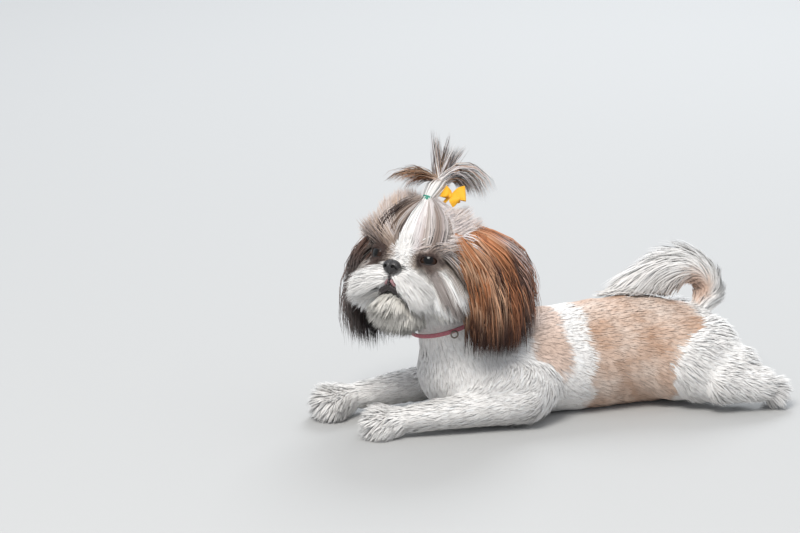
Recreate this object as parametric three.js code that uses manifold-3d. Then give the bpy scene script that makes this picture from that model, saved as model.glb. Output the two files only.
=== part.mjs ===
// A shih tzu at life size, in millimetres: it lies on its belly with its forelegs stretched ahead, its head
// turned to its left and raised, its left hind leg stretched out behind and its tail curled over its back.
// -X is towards the nose, -Y is the dog's left side, and it rests on the floor at z = 0.

import * as THREE from "three";
import { mergeVertices } from "three/addons/utils/BufferGeometryUtils.js";
import Module from "manifold-3d";

const wasm = await Module();
wasm.setup();

const GAP = 0.35; // left between pieces that meet
const SIDES = { left: -1, right: 1 };

const CHEST_FRONT = -143;
const RUMP_BACK = 188;
const BACK_HEIGHT = 116;
const TRUNK_HALF_WIDTH = 60;
const PRESSED = 3; // how far the belly is pressed flat by the floor

const HEAD_AT = [-142, -8, 160]; // the middle of the skull
const HEAD_TURN = 37; // degrees to its left
const HEAD_RAISE = 24; // degrees, nose up
const SKULL = [50, 50, 48]; // half length, half width and half height, with part of the coat
const EYE_AT = [-38, 27, 4]; // in the head's own frame, as are the next ones
const EYE_RADIUS = 11.5;
const LID = 2.4; // how thick a lid is
const NOSE_AT = [-60, 0, -10];
const BAND_AT = [-22, 0, 69];

const vec = (x, y, z) => new THREE.Vector3(x, y, z);
const degrees = THREE.MathUtils.degToRad;
const mix = THREE.MathUtils.lerp;

// A field gives the distance from a point to a form's surface, and is negative inside it.

function egg([x, y, z], [a, b, c], [tx, ty, tz] = [0, 0, 0]) {
  const turn = new THREE.Euler(degrees(tx), degrees(ty), degrees(tz), "ZYX");
  const back = new THREE.Quaternion().setFromEuler(turn).invert();
  const q = vec(0, 0, 0);
  return (p) => {
    q.set(p.x - x, p.y - y, p.z - z).applyQuaternion(back);
    const scaled = Math.hypot(q.x / a, q.y / b, q.z / c);
    const slope = Math.hypot(q.x / a ** 2, q.y / b ** 2, q.z / c ** 2);
    return slope < 1e-9 ? -Math.min(a, b, c) : (scaled * (scaled - 1)) / slope;
  };
}

// A limb follows a row of joints, each [x, y, z, radius].
function limb(...joints) {
  const rows = joints.slice(1).map((end, i) => {
    const start = joints[i];
    const along = vec(end[0] - start[0], end[1] - start[1], end[2] - start[2]);
    return { start, end, along, square: along.lengthSq() };
  });
  const q = vec(0, 0, 0);
  return (p) => {
    let least = Infinity;
    for (const { start, end, along, square } of rows) {
      q.set(p.x - start[0], p.y - start[1], p.z - start[2]);
      const t = THREE.MathUtils.clamp(q.dot(along) / square, 0, 1);
      least = Math.min(least, q.addScaledVector(along, -t).length() - mix(start[3], end[3], t));
    }
    return least;
  };
}

// Flesh that runs smoothly from one field into the next over a width of about `soft`.
function blend(soft, ...fields) {
  return (p) =>
    fields.reduce((sum, field) => {
      const next = field(p);
      const near = Math.max(soft - Math.abs(sum - next), 0) / soft;
      return Math.min(sum, next) - (near * near * soft) / 4;
    }, Infinity);
}

const slopeStep = 0.5;
function slopeOf(field, p) {
  const at = (x, y, z) => field(vec(p.x + x, p.y + y, p.z + z));
  return vec(
    at(slopeStep, 0, 0) - at(-slopeStep, 0, 0),
    at(0, slopeStep, 0) - at(0, -slopeStep, 0),
    at(0, 0, slopeStep) - at(0, 0, -slopeStep),
  ).normalize();
}

// The first point on the ray from `from` along `way` where the field reaches `level`.
function surfacePoint(field, from, way, level = 0) {
  const p = vec(0, 0, 0);
  const at = (t) => field(p.copy(from).addScaledVector(way, t)) - level;
  let inside = 0;
  let outside = 0;
  for (let d = at(0); d < 0 && outside < 400; d = at(outside)) {
    inside = outside;
    outside += Math.max(-d * 0.6, 0.4);
  }
  for (let i = 0; i < 14; i++) {
    const middle = (inside + outside) / 2;
    if (at(middle) < 0) inside = middle;
    else outside = middle;
  }
  return from.clone().addScaledVector(way, outside);
}

// A closed mesh over a field: rays run out from a line inside it, half a ball of them at each end of the line
// and rings of them between. What would reach below the floor is flattened on it.
function wrap(field, line, { sectors, rings, caps, up = vec(0, 0, 1), grow = 0, floor = false }) {
  const curve = new THREE.CatmullRomCurve3(line.map((p) => vec(...p)));
  const rows = [];
  for (let i = 0; i <= caps; i++) rows.push([0, -Math.cos(((i / caps) * Math.PI) / 2)]);
  for (let i = 1; i < rings; i++) rows.push([i / rings, 0]);
  for (let i = caps; i >= 0; i--) rows.push([1, Math.cos(((i / caps) * Math.PI) / 2)]);
  const points = [];
  const faces = [];
  rows.forEach(([t, forward], row) => {
    const from = curve.getPointAt(t);
    const tangent = curve.getTangentAt(t);
    const side = vec(0, 0, 0).crossVectors(tangent, up).normalize();
    const top = vec(0, 0, 0).crossVectors(side, tangent);
    const isPole = row === 0 || row === rows.length - 1;
    for (let i = 0; i < (isPole ? 1 : sectors); i++) {
      const angle = ((i + 0.5) / sectors) * Math.PI * 2;
      const out = Math.sqrt(1 - forward ** 2);
      const way = tangent.clone().multiplyScalar(forward);
      way.addScaledVector(side, Math.cos(angle) * out).addScaledVector(top, Math.sin(angle) * out);
      const p = surfacePoint(field, from, way.normalize(), grow);
      if (floor) p.z = Math.max(p.z, 0);
      points.push(p);
    }
  });
  const last = points.length - 1;
  const at = (row, i) => 1 + (row - 1) * sectors + (i % sectors);
  for (let i = 0; i < sectors; i++) {
    faces.push(0, at(1, i + 1), at(1, i), last, at(rows.length - 2, i), at(rows.length - 2, i + 1));
    for (let row = 1; row < rows.length - 2; row++) {
      faces.push(at(row, i), at(row, i + 1), at(row + 1, i));
      faces.push(at(row, i + 1), at(row + 1, i + 1), at(row + 1, i));
    }
  }
  return new THREE.BufferGeometry().setFromPoints(points).setIndex(faces);
}

// Solids, joined and cut.

function solid(geometry) {
  const bare = geometry.clone();
  for (const name of Object.keys(bare.attributes)) if (name !== "position") bare.deleteAttribute(name);
  const merged = mergeVertices(bare, 1e-4);
  const vertProperties = new Float32Array(merged.attributes.position.array);
  const triVerts = new Uint32Array(merged.index.array);
  const made = new wasm.Manifold(new wasm.Mesh({ numProp: 3, vertProperties, triVerts }));
  if (made.volume() > 0) return made;
  return new wasm.Manifold(new wasm.Mesh({ numProp: 3, vertProperties, triVerts: triVerts.reverse() }));
}

const join = (...solids) => solids.reduce((a, b) => a.add(b));
const cut = (body, ...tools) => tools.reduce((a, b) => a.subtract(b), body);

// The largest closed surface of a solid, as a geometry.
function geometryOf(made) {
  const pieces = made.decompose().sort((a, b) => b.volume() - a.volume());
  const { vertProperties, triVerts } = pieces[0].getMesh();
  const geometry = new THREE.BufferGeometry();
  geometry.setAttribute("position", new THREE.BufferAttribute(vertProperties, 3));
  return geometry.setIndex(new THREE.BufferAttribute(triVerts, 1));
}

// A random draw between two values, the same in every run of one generator.
function draws(seed) {
  let state = seed;
  return (low, high) => {
    state = (state + 0x6d2b79f5) | 0;
    let t = Math.imul(state ^ (state >>> 15), 1 | state);
    t = (t + Math.imul(t ^ (t >>> 7), 61 | t)) ^ t;
    return mix(low, high, ((t ^ (t >>> 14)) >>> 0) / 4294967296);
  };
}

// A lock of hair along a path of points: a blade with two edges and a ridge on its outer side, which widens
// from its root and tapers to its tip.
const LOCK_SWELL = [0.5, 0.9, 1];
const LOCK_EDGE_GROWTH = 4.5; // a sharp edge moves out further than a face does when a lock grows
function lock(path, halfWidth, thickness, outward, grow = 0) {
  const points = [];
  const faces = [0, 2, 1];
  const tip = path.length - 1;
  for (let i = 0; i < tip; i++) {
    const along = path[Math.min(i + 1, tip)].clone().sub(path[Math.max(i - 1, 0)]).normalize();
    const across = vec(0, 0, 0).crossVectors(along, outward).normalize();
    const out = vec(0, 0, 0).crossVectors(across, along);
    const swell = LOCK_SWELL[Math.min(i, LOCK_SWELL.length - 1)];
    const wide = halfWidth * swell + grow * LOCK_EDGE_GROWTH;
    const deep = (thickness * swell) / 2 + grow * 1.2;
    const middle = path[i].clone().addScaledVector(along, i === 0 ? -grow * 1.2 : 0);
    for (const [edge, rise] of [[-wide, -deep], [wide, -deep], [0, deep]]) {
      points.push(middle.clone().addScaledVector(across, edge).addScaledVector(out, rise));
    }
    const at = i * 3;
    const next = at + 3;
    for (const [a, b] of [[0, 1], [1, 2], [2, 0]]) {
      if (i < tip - 1) faces.push(at + a, at + b, next + a, at + b, next + b, next + a);
      else faces.push(at + a, at + b, next);
    }
  }
  const last = path[tip].clone().sub(path[tip - 1]).normalize();
  points.push(path[tip].clone().addScaledVector(last, grow * LOCK_EDGE_GROWTH));
  return solid(new THREE.BufferGeometry().setFromPoints(points).setIndex(faces));
}

// A lock combed over a body: it grows at the body's surface, heads along `way`, sinks towards the ground by
// `fall` at each step and keeps a growing height over the body, from `lift[0]` to `lift[1]`.
const LOCK_STEPS = 3;
const LOCK_ROOT = 4; // how deep a root is sunk
function comb(body, root, way, { length, wide, thick = 4, fall = 0.2, lift = [1, 6], grow = 0 }) {
  const out = slopeOf(body, root);
  const path = [root.clone().addScaledVector(out, -LOCK_ROOT)];
  const heading = way.clone().normalize();
  const p = root.clone();
  for (let i = 1; i <= LOCK_STEPS; i++) {
    heading.z -= fall;
    heading.normalize();
    p.addScaledVector(heading, length / LOCK_STEPS);
    const height = body(p);
    const wanted = mix(lift[0], lift[1], i / LOCK_STEPS);
    if (height < wanted) p.addScaledVector(slopeOf(body, p), wanted - height);
    p.z = Math.max(p.z, 1.5);
    path.push(p.clone());
  }
  return lock(path, wide, thick, out, grow);
}

// The dog's frame holds two frames of the head: one that turns and rises with the skull, and a level one that
// only turns with it, where hair hangs straight down.
const dog = new THREE.Group();
function frameAt(place, raise) {
  const frame = new THREE.Group();
  frame.position.set(...place);
  frame.rotation.set(0, degrees(raise), degrees(HEAD_TURN), "ZYX");
  dog.add(frame);
  frame.updateWorldMatrix(true, false);
  return frame;
}
const head = frameAt(HEAD_AT, HEAD_RAISE);
const level = frameAt(HEAD_AT, 0);

// A field, a point and a direction of a frame, as seen in the dog's own frame.
function within(frame, field) {
  const back = frame.matrixWorld.clone().invert();
  const q = vec(0, 0, 0);
  return (p) => field(q.copy(p).applyMatrix4(back));
}
const spot = (frame, point) => vec(...point).applyMatrix4(frame.matrixWorld).toArray();
const heading = (frame, way) => vec(...way).transformDirection(frame.matrixWorld);

const COLOURS = {
  white: 0xe9e6e3,
  chestnut: 0x9a5a2c,
  black: 0x161414,
  eye: 0x1a100c,
  teal: 0x3fa08a,
  yellow: 0xf2b31a,
  pink: 0xc07580,
};

// Every solid is made in the dog's frame, so that neighbours can be cut by it, and goes into its own group's
// frame here.
function place(name, made, colour, group = dog, roughness = 0.8) {
  const material = new THREE.MeshStandardMaterial({ color: COLOURS[colour], roughness, metalness: 0 });
  const geometry = geometryOf(made).applyMatrix4(group.matrixWorld.clone().invert());
  const mesh = new THREE.Mesh(geometry, material);
  mesh.name = name;
  group.add(mesh);
}

// Trunk: a deep chest, the ribs, the loin and the rump.
const trunkMiddle = BACK_HEIGHT / 2 - PRESSED;
const trunkField = blend(
  22,
  egg([CHEST_FRONT + 62, 0, trunkMiddle], [62, TRUNK_HALF_WIDTH - 6, BACK_HEIGHT / 2]),
  egg([-4, 0, trunkMiddle - 2], [92, TRUNK_HALF_WIDTH, BACK_HEIGHT / 2 - 1]),
  egg([70, 0, trunkMiddle], [86, TRUNK_HALF_WIDTH - 3, BACK_HEIGHT / 2 + 1]),
  egg([RUMP_BACK - 54, 0, trunkMiddle - 5], [54, TRUNK_HALF_WIDTH - 4, BACK_HEIGHT / 2 - 5]),
);
const trunkLine = [
  [CHEST_FRONT + 48, 0, trunkMiddle],
  [0, 0, trunkMiddle],
  [RUMP_BACK - 44, 0, trunkMiddle - 8],
];
const trunk = (grow = 0) =>
  solid(wrap(trunkField, trunkLine, { sectors: 20, rings: 9, caps: 3, grow, floor: true }));

// Skull and cheeks.
const [eyeX, eyeY, eyeZ] = EYE_AT;
const skullField = within(
  head,
  blend(
    14,
    egg([-2, 0, 10], SKULL),
    egg([-18, -30, -12], [28, 26, 30]),
    egg([-18, 30, -12], [28, 26, 30]),
    egg([-34, 0, -12], [20, 26, 22]),
  ),
);
const skullLine = [spot(head, [12, 0, 4]), spot(head, [-30, 0, -6])];
const headUp = heading(head, [0, 0, 1]);
const skull = (grow = 0) =>
  solid(wrap(skullField, skullLine, { sectors: 20, rings: 4, caps: 5, up: headUp, grow }));

const eyeball = (side, radius) =>
  solid(new THREE.SphereGeometry(radius, 14, 7).translate(eyeX, side * eyeY, eyeZ).applyMatrix4(head.matrixWorld));
const eye = (side, grow = 0) => eyeball(side, EYE_RADIUS + grow);

// Lids: a shell round each eye with an almond opening ahead.
const lids = (side) => {
  const opening = new THREE.SphereGeometry(1, 14, 10).scale(12, 10, 6.5);
  opening.translate(eyeX - 9, side * (eyeY + 2), eyeZ + 0.5).applyMatrix4(head.matrixWorld);
  return cut(eyeball(side, EYE_RADIUS + LID), solid(opening));
};

// Hair of the cheeks, which falls outward and down, and of the brow and crown, which is drawn up to the band.
function headHair(grow = 0) {
  const draw = draws(11);
  const made = [];
  const rootAt = (from, azimuth, rise) => {
    const way = [
      -Math.cos(degrees(azimuth)) * Math.cos(degrees(rise)),
      Math.sin(degrees(azimuth)) * Math.cos(degrees(rise)),
      Math.sin(degrees(rise)),
    ];
    return surfacePoint(skullField, vec(...spot(head, from)), heading(head, way));
  };
  for (const side of [-1, 1]) {
    for (const rise of [14, -12, -36]) {
      for (const azimuth of [58, 88]) {
        const root = rootAt([-14, side * 16, 2], side * (azimuth + draw(-6, 6)), rise + draw(-5, 5));
        const way = heading(head, [0.25 + draw(-0.1, 0.15), side * 0.75, -0.75]);
        const size = { length: draw(36, 46), wide: draw(11, 13), fall: 0.26, lift: [4, 15], grow };
        made.push(comb(skullField, root, way, size));
      }
    }
    for (const azimuth of [70, 112]) {
      const root = rootAt([-10, side * 12, 8], side * azimuth, 46 + draw(-4, 4));
      const way = heading(head, [draw(0, 0.2), side, -0.05]);
      const size = { length: draw(34, 40), wide: draw(9, 11), fall: 0.28, lift: [7, 14], grow };
      made.push(comb(skullField, root, way, size));
    }
  }
  const gather = vec(...spot(head, [BAND_AT[0] + 3, 0, BAND_AT[2] - 12]));
  for (const [rise, count] of [[34, 6], [58, 4]]) {
    for (let i = 0; i < count; i++) {
      const azimuth = mix(-118, 118, i / (count - 1)) + draw(-5, 5);
      const root = rootAt([-8, 0, 6], azimuth, rise + draw(-4, 4));
      const way = gather.clone().sub(root);
      const size = { length: way.length() * 0.86, wide: draw(10, 12), fall: 0, lift: [3, 6], grow };
      made.push(comb(skullField, root, way, size));
    }
  }
  return join(...made);
}

// Nose, upper lips and chin.
const nose = (grow = 0) => {
  const shape = new THREE.SphereGeometry(1, 12, 7).scale(6 + grow, 10 + grow, 8 + grow);
  const whole = solid(shape.translate(...NOSE_AT).applyMatrix4(head.matrixWorld));
  if (grow) return whole;
  const nostril = (side) => {
    const hole = new THREE.SphereGeometry(1, 6, 4).scale(4, 1.8, 1.5).rotateX(degrees(side * 20));
    return solid(hole.translate(NOSE_AT[0] - 5, side * 4.6, NOSE_AT[2] - 0.5).applyMatrix4(head.matrixWorld));
  };
  return cut(whole, nostril(-1), nostril(1));
};
const muzzleField = within(
  head,
  blend(
    6,
    egg([-46, 0, -17], [13, 15, 12]),
    egg([-47, -12, -23], [12, 16, 9]),
    egg([-47, 12, -23], [12, 16, 9]),
  ),
);
const muzzleLine = [spot(head, [-45, -12, -21]), spot(head, [-45, 12, -21])];
const muzzle = (grow = 0) => {
  const draw = draws(23);
  const core = solid(wrap(muzzleField, muzzleLine, { sectors: 10, rings: 5, caps: 2, up: headUp, grow }));
  const made = [core];
  for (const side of [-1, 1]) {
    for (const high of [0.6, -0.5]) {
      for (let i = 0; i < 4; i++) {
        const from = vec(...spot(head, [-46, side * mix(5, 18, i / 3), -21]));
        const aim = heading(head, [-0.9 + i * 0.22, side * (0.25 + i * 0.22), high]);
        const root = surfacePoint(muzzleField, from, aim);
        const way = heading(head, [-0.35 + i * 0.18, side * (0.9 + draw(-0.1, 0.1)), -0.55 + high / 4]);
        const length = draw(22, 28) + i * 3;
        const size = { length, wide: draw(6.5, 8), thick: 3.6, fall: 0.2, lift: [2, 6], grow };
        made.push(comb(muzzleField, root, way, size));
      }
    }
  }
  return join(...made);
};
const jawField = within(head, blend(8, egg([-42, 0, -39], [14, 16, 8]), egg([-26, 0, -44], [18, 24, 12])));
const jawLine = [spot(head, [-36, -10, -41]), spot(head, [-36, 10, -41])];
const lipField = within(head, limb([-47, -14, -35, 3], [-57, 0, -33, 3], [-47, 14, -35, 3]));
const lipLine = [spot(head, [-48, -12, -35]), spot(head, [-56, 0, -33]), spot(head, [-48, 12, -35])];
const jaw = (grow = 0) => {
  const draw = draws(37);
  const core = solid(wrap(jawField, jawLine, { sectors: 10, rings: 3, caps: 2, up: headUp, grow }));
  const lip = solid(wrap(lipField, lipLine, { sectors: 6, rings: 6, caps: 1, up: headUp, grow }));
  const made = [core, lip];
  for (const [drop, count] of [[-8, 6], [-60, 5]]) {
    for (let i = 0; i < count; i++) {
      const turn = mix(-100, 100, i / (count - 1)) + draw(-6, 6);
      const from = vec(...spot(head, [-34, 0, -42]));
      const aim = [-Math.cos(degrees(turn)), Math.sin(degrees(turn)), Math.tan(degrees(drop)) * 0.8];
      const root = surfacePoint(jawField, from, heading(head, aim));
      const way = heading(head, [aim[0] * 0.5 + 0.1, aim[1] * 0.6, -0.8]);
      const size = { length: draw(16, 21), wide: draw(7.5, 9), thick: 4, fall: 0.15, lift: [2, 5], grow };
      made.push(comb(jawField, root, way, size));
    }
  }
  return join(...made);
};

// Neck, from inside the chest to inside the skull.
const neckField = limb([-92, 0, 84, 46], [-118, -4, 118, 42], [-134, -8, 154, 38]);
const neckLine = [
  [-92, 0, 84],
  [-116, -4, 116],
  [-134, -8, 152],
];
const neck = (grow = 0) =>
  solid(wrap(neckField, neckLine, { sectors: 14, rings: 5, caps: 2, up: vec(1, 0, 0), grow }));

// Collar: a slice of the neck's own form, a little wider than it.
const collar = (grow = 0) => {
  const disc = new THREE.CylinderGeometry(90, 90, 6 + grow * 2, 12).rotateX(Math.PI / 2);
  const slice = disc.rotateY(degrees(-32)).translate(-122, -5, 126);
  return cut(neck(3 + grow).intersect(solid(slice)), neck(0.6 - grow));
};

// Ears: each hangs from high on the side of the skull.
const EAR_LAYERS = [
  { locks: 6, rootOut: 42, rootHeight: 40, swing: 56, drop: 84 },
  { locks: 5, rootOut: 62, rootHeight: 18, swing: 44, drop: 98 },
  { locks: 4, rootOut: 68, rootHeight: -10, swing: 26, drop: 76 },
];
const EAR_SPREAD = { root: [12, 19], tip: [26, 38] }; // each the middle and half width, from front to back
const EAR_FULLNESS = { "-1": 1.16, "1": 0.84 }; // the right one lies closer to the head
const EAR_LENGTH = { "-1": 1, "1": 1.1 };
const earFlapField = (side) =>
  within(
    level,
    blend(
      12,
      egg([10, side * 50, 28], [20, 13, 20], [side * -40, 0, 0]),
      egg([14, side * 68, 2], [22, 9, 30], [side * -12, 0, 0]),
      egg([18, side * 72, -24], [18, 8, 22]),
    ),
  );
const earFlapLine = (side) =>
  [[11, side * 52, 26], [14, side * 68, 2], [18, side * 72, -26]].map((point) => spot(level, point));
function ear(side, grow = 0) {
  const draw = draws(53 + side);
  const up = heading(level, [1, 0, 0]);
  const flap = solid(wrap(earFlapField(side), earFlapLine(side), { sectors: 10, rings: 5, caps: 2, up, grow }));
  const cup = new THREE.SphereGeometry(1, 8, 6).scale(13 - grow, 6 - grow, 18 - grow);
  cup.translate(16, side * 60, -10).applyMatrix4(level.matrixWorld);
  const made = [cut(flap, solid(cup))];
  for (const { locks, rootOut, rootHeight, swing, drop } of EAR_LAYERS) {
    for (let i = 0; i < locks; i++) {
      const u = mix(-1, 1, i / (locks - 1));
      const longer = EAR_LENGTH[side] * draw(0.9, 1.06) - 0.1 * u * u;
      const sway = draw(-4, 4);
      const inward = (i % 2) * 3 + 5 * u * u;
      const path = [0, 0.28, 0.64, 1].map((t) => {
        const [middle, half] = EAR_SPREAD.root.map((value, k) => mix(value, EAR_SPREAD.tip[k], t));
        const out = rootOut + swing * EAR_FULLNESS[side] * (1 - (1 - t) ** 2.2) - 14 * t * t - inward;
        const height = rootHeight - drop * longer * t ** 1.25;
        return vec(...spot(level, [middle + half * u + sway * t, side * out, height]));
      });
      made.push(lock(path, draw(10.5, 12.5), 5, heading(level, [0.4 * u, side, 0.25]), grow));
    }
  }
  return join(...made);
}

// Topknot: hair gathered to the band, and its spray above.
const stemFoot = spot(head, [-16, 0, 44]);
const stemAtBand = spot(head, BAND_AT);
const stemTop = spot(head, [-14, -3, 88]);
const topknotField = limb(
  [...stemFoot, 22],
  [...stemAtBand, 5],
  [...spot(head, [-20, -1, 76]), 5],
  [...stemTop, 8],
);
const topknotLine = [stemFoot, stemAtBand, stemTop];
const SPRAY = [
  { locks: 4, azimuth: [10, 100], rise: 18, length: 44, fall: 0.2 },
  { locks: 5, azimuth: [-160, 160], rise: 76, length: 44, fall: 0 },
  { locks: 5, azimuth: [-170, -70], rise: 50, length: 62, fall: 0.42 },
  { locks: 4, azimuth: [120, 200], rise: 40, length: 46, fall: 0.3 },
];
const topknot = (grow = 0) => {
  const draw = draws(71);
  const up = heading(head, [0, 1, 0]);
  const made = [solid(wrap(topknotField, topknotLine, { sectors: 8, rings: 7, caps: 2, up, grow }))];
  for (const { locks, azimuth, rise, length, fall } of SPRAY) {
    for (let i = 0; i < locks; i++) {
      const turn = degrees(mix(azimuth[0], azimuth[1], i / (locks - 1)) + draw(-8, 8));
      const lean = degrees(rise + draw(-10, 10));
      const aim = [-Math.cos(turn) * Math.cos(lean), Math.sin(turn) * Math.cos(lean), Math.sin(lean)];
      const way = heading(head, aim);
      const path = [vec(...stemTop).addScaledVector(way, 3)];
      const step = (length * draw(0.85, 1.15)) / LOCK_STEPS;
      for (let k = 0; k < LOCK_STEPS; k++) {
        path.push(path[k].clone().addScaledVector(way, step));
        way.z -= fall * (k + 1) * 0.8;
        way.normalize();
      }
      const outward = heading(head, [aim[0] * 0.3, aim[1] * 0.3, 1]).addScaledVector(headUp, 0.2);
      if (rise > 60) outward.copy(heading(head, [Math.sin(turn), Math.cos(turn), 0]));
      made.push(lock(path, draw(4.6, 5.8), 3, outward.normalize(), grow));
    }
  }
  return join(...made);
};
const bandRing = (grow = 0) => {
  const ring = new THREE.TorusGeometry(7.4, 1.6 + grow, 7, 14);
  return solid(ring.translate(...BAND_AT).applyMatrix4(head.matrixWorld));
};
const bow = (grow = 0) => {
  const loop = (side) => egg([-12, -19 + side * 8, 76], [4, 9, 7], [side * 15, 0, 0]);
  const field = within(head, blend(2, loop(-1), loop(1), egg([-12, -19, 76], [5, 4, 5])));
  const line = [spot(head, [-12, -27, 76]), spot(head, [-12, -11, 76])];
  return solid(wrap(field, line, { sectors: 8, rings: 6, caps: 2, up: headUp, grow }));
};

// Forelegs, stretched ahead along the floor: the upper arm and forearm, then the paw.
const FORELEGS = {
  left: { arm: [-58, -56, 40], elbow: [-50, -60, 28], wrist: [-170, -48, 18], toes: [-200, -42, 17] },
  right: { arm: [-66, 54, 42], elbow: [-75, 56, 28], wrist: [-190, 45, 20], toes: [-226, 38, 23] },
};
const foreleg = ({ arm, elbow, wrist }, grow = 0) => {
  const field = blend(14, egg(arm, [52, 22, 38]), limb([...elbow, 26], [...wrist, 17]));
  const line = [arm, [elbow[0] - 40, elbow[1], 26], wrist];
  return solid(wrap(field, line, { sectors: 12, rings: 8, caps: 3, grow, floor: true }));
};
const forepaw = ({ wrist, toes }, grow = 0) => {
  const pad = egg([toes[0] + 6, toes[1], toes[2] - 5], [20, 18, toes[2] - 2]);
  const field = blend(10, limb([...wrist, 16], [...toes, 14]), pad);
  const core = solid(wrap(field, [wrist, toes], { sectors: 10, rings: 3, caps: 2, grow, floor: true }));
  return join(core, ...footHair(field, toes, -1, grow));
};

// Hair over the toes, in a fan to both sides and ahead, where `ahead` is the way that the toes point along X.
function footHair(field, toes, ahead, grow) {
  const draw = draws(Math.round(toes[0]) + 500);
  const made = [];
  for (const [rise, count] of [[44, 3], [14, 5]]) {
    for (let i = 0; i < count; i++) {
      const turn = degrees(mix(-95, 95, i / (count - 1)) + draw(-8, 8));
      const aim = vec(ahead * Math.cos(turn), Math.sin(turn), Math.tan(degrees(rise)));
      const root = surfacePoint(field, vec(toes[0] - ahead * 4, toes[1], toes[2]), aim.clone().normalize());
      const way = vec(ahead * (Math.cos(turn) + 0.3), Math.sin(turn) * 0.7, 0.1);
      const size = { length: draw(15, 19), wide: draw(7.5, 9), thick: 5, fall: 0.36, lift: [2.5, 3.5], grow };
      made.push(comb(field, root, way, size));
    }
  }
  return made;
}

// Hind legs: the left lies stretched out behind and the right is folded under.
const HIND_LEGS = {
  left: {
    hip: [126, -56, 48],
    thigh: [148, -57, 46],
    knee: [158, -74, 32],
    hock: [196, -82, 28],
    heel: [197, -82, 27],
    toes: [211, -79, 25],
  },
  right: {
    hip: [158, 54, 46],
    thigh: [134, 53, 44],
    knee: [112, 60, 30],
    hock: [104, 64, 26],
    heel: [172, 80, 20],
    toes: [96, 88, 17],
  },
};
const hindLeg = ({ hip, thigh, knee, hock }, grow = 0) => {
  const field = blend(16, egg(thigh, [46, 28, 44]), limb([...knee, 27], [...hock, 24]));
  return solid(wrap(field, [hip, hock], { sectors: 12, rings: 7, caps: 3, grow, floor: true }));
};
const hindPaw = ({ heel, toes }, grow = 0) => {
  const field = limb([...heel, 17], [...toes, 17]);
  const core = solid(wrap(field, [heel, toes], { sectors: 10, rings: 3, caps: 2, grow, floor: true }));
  return join(core, ...footHair(field, toes, Math.sign(toes[0] - heel[0]), grow));
};

// Tail: it rises from the rump and curls forward over the back.
const TAIL = [
  [168, 0, 94],
  [180, 0, 114],
  [176, 2, 134],
  [155, 6, 144],
  [122, 11, 142],
  [94, 15, 129],
];
const TAIL_RADIUS = [12, 7];
const TAIL_BEND = 2; // the joint where the rising root ends and the plume begins
const tailJoints = TAIL.map((joint, i) => [...joint, mix(...TAIL_RADIUS, i / (TAIL.length - 1))]);
const TAIL_HAIR = [
  { locks: 5, start: 0.02, end: 0.85, turns: [-30, 90], length: 44, fall: 0.16, stand: 0.45 },
  { locks: 5, start: 0.02, end: 0.85, turns: [90, 210], length: 44, fall: 0.16, stand: 0.45 },
  { locks: 6, start: 0.1, end: 0.98, turns: [200, 330], length: 38, fall: 0.34, stand: 0.7 },
  { locks: 4, start: 0.85, end: 1, turns: [0, 270], length: 40, fall: 0.34, stand: 0.6 },
];
const across = vec(0, 1, 0);
const tailRoot = (grow = 0) => {
  const joints = tailJoints.slice(0, TAIL_BEND + 1);
  const line = TAIL.slice(0, TAIL_BEND + 1);
  return solid(wrap(limb(...joints), line, { sectors: 10, rings: 4, caps: 2, up: across, grow }));
};
const tailPlume = (grow = 0) => {
  const draw = draws(97);
  const field = limb(...tailJoints.slice(TAIL_BEND));
  const line = TAIL.slice(TAIL_BEND);
  const curve = new THREE.CatmullRomCurve3(line.map((joint) => vec(...joint)));
  const made = [solid(wrap(field, line, { sectors: 10, rings: 6, caps: 2, up: across, grow }))];
  for (const { locks, start, end, turns, length, fall, stand } of TAIL_HAIR) {
    for (let i = 0; i < locks; i++) {
      const t = mix(start, end, i / (locks - 1));
      const turn = degrees(mix(...turns, (i * 0.382) % 1) + draw(-12, 12));
      const along = curve.getTangentAt(t);
      const side = vec(0, 0, 0).crossVectors(along, across).normalize();
      const out = side.clone().multiplyScalar(Math.sin(turn)).addScaledVector(across, Math.cos(turn));
      const root = surfacePoint(field, curve.getPointAt(t), out);
      const way = along.clone().addScaledVector(out, stand);
      const size = { length: length * draw(0.85, 1.1), wide: draw(8, 10), thick: 4, fall, lift: [2, 12], grow };
      made.push(comb(field, root, way, size));
    }
  }
  return join(...made);
};

// What would reach below the floor.
const ground = solid(new THREE.BoxGeometry(900, 900, 60).translate(0, 0, -30));

const trunkGap = trunk(GAP);
const skullGap = skull(GAP);
const neckGap = neck(GAP);
const collarGap = collar(GAP);
const noseGap = nose(GAP);
const muzzleGap = muzzle(GAP);
const jawGap = jaw(GAP);
const bandGap = bandRing(GAP);
const topknotGap = topknot(GAP);
const eyeGaps = [eye(-1, GAP), eye(1, GAP)];
const earGaps = [ear(-1, GAP), ear(1, GAP)];
const bareBow = cut(bow(), topknotGap);
const hair = cut(
  headHair(),
  ...eyeGaps,
  ...earGaps,
  noseGap,
  muzzleGap,
  jawGap,
  neckGap,
  collarGap,
  trunkGap,
  topknotGap,
  bandGap,
  bow(GAP),
);

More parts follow.
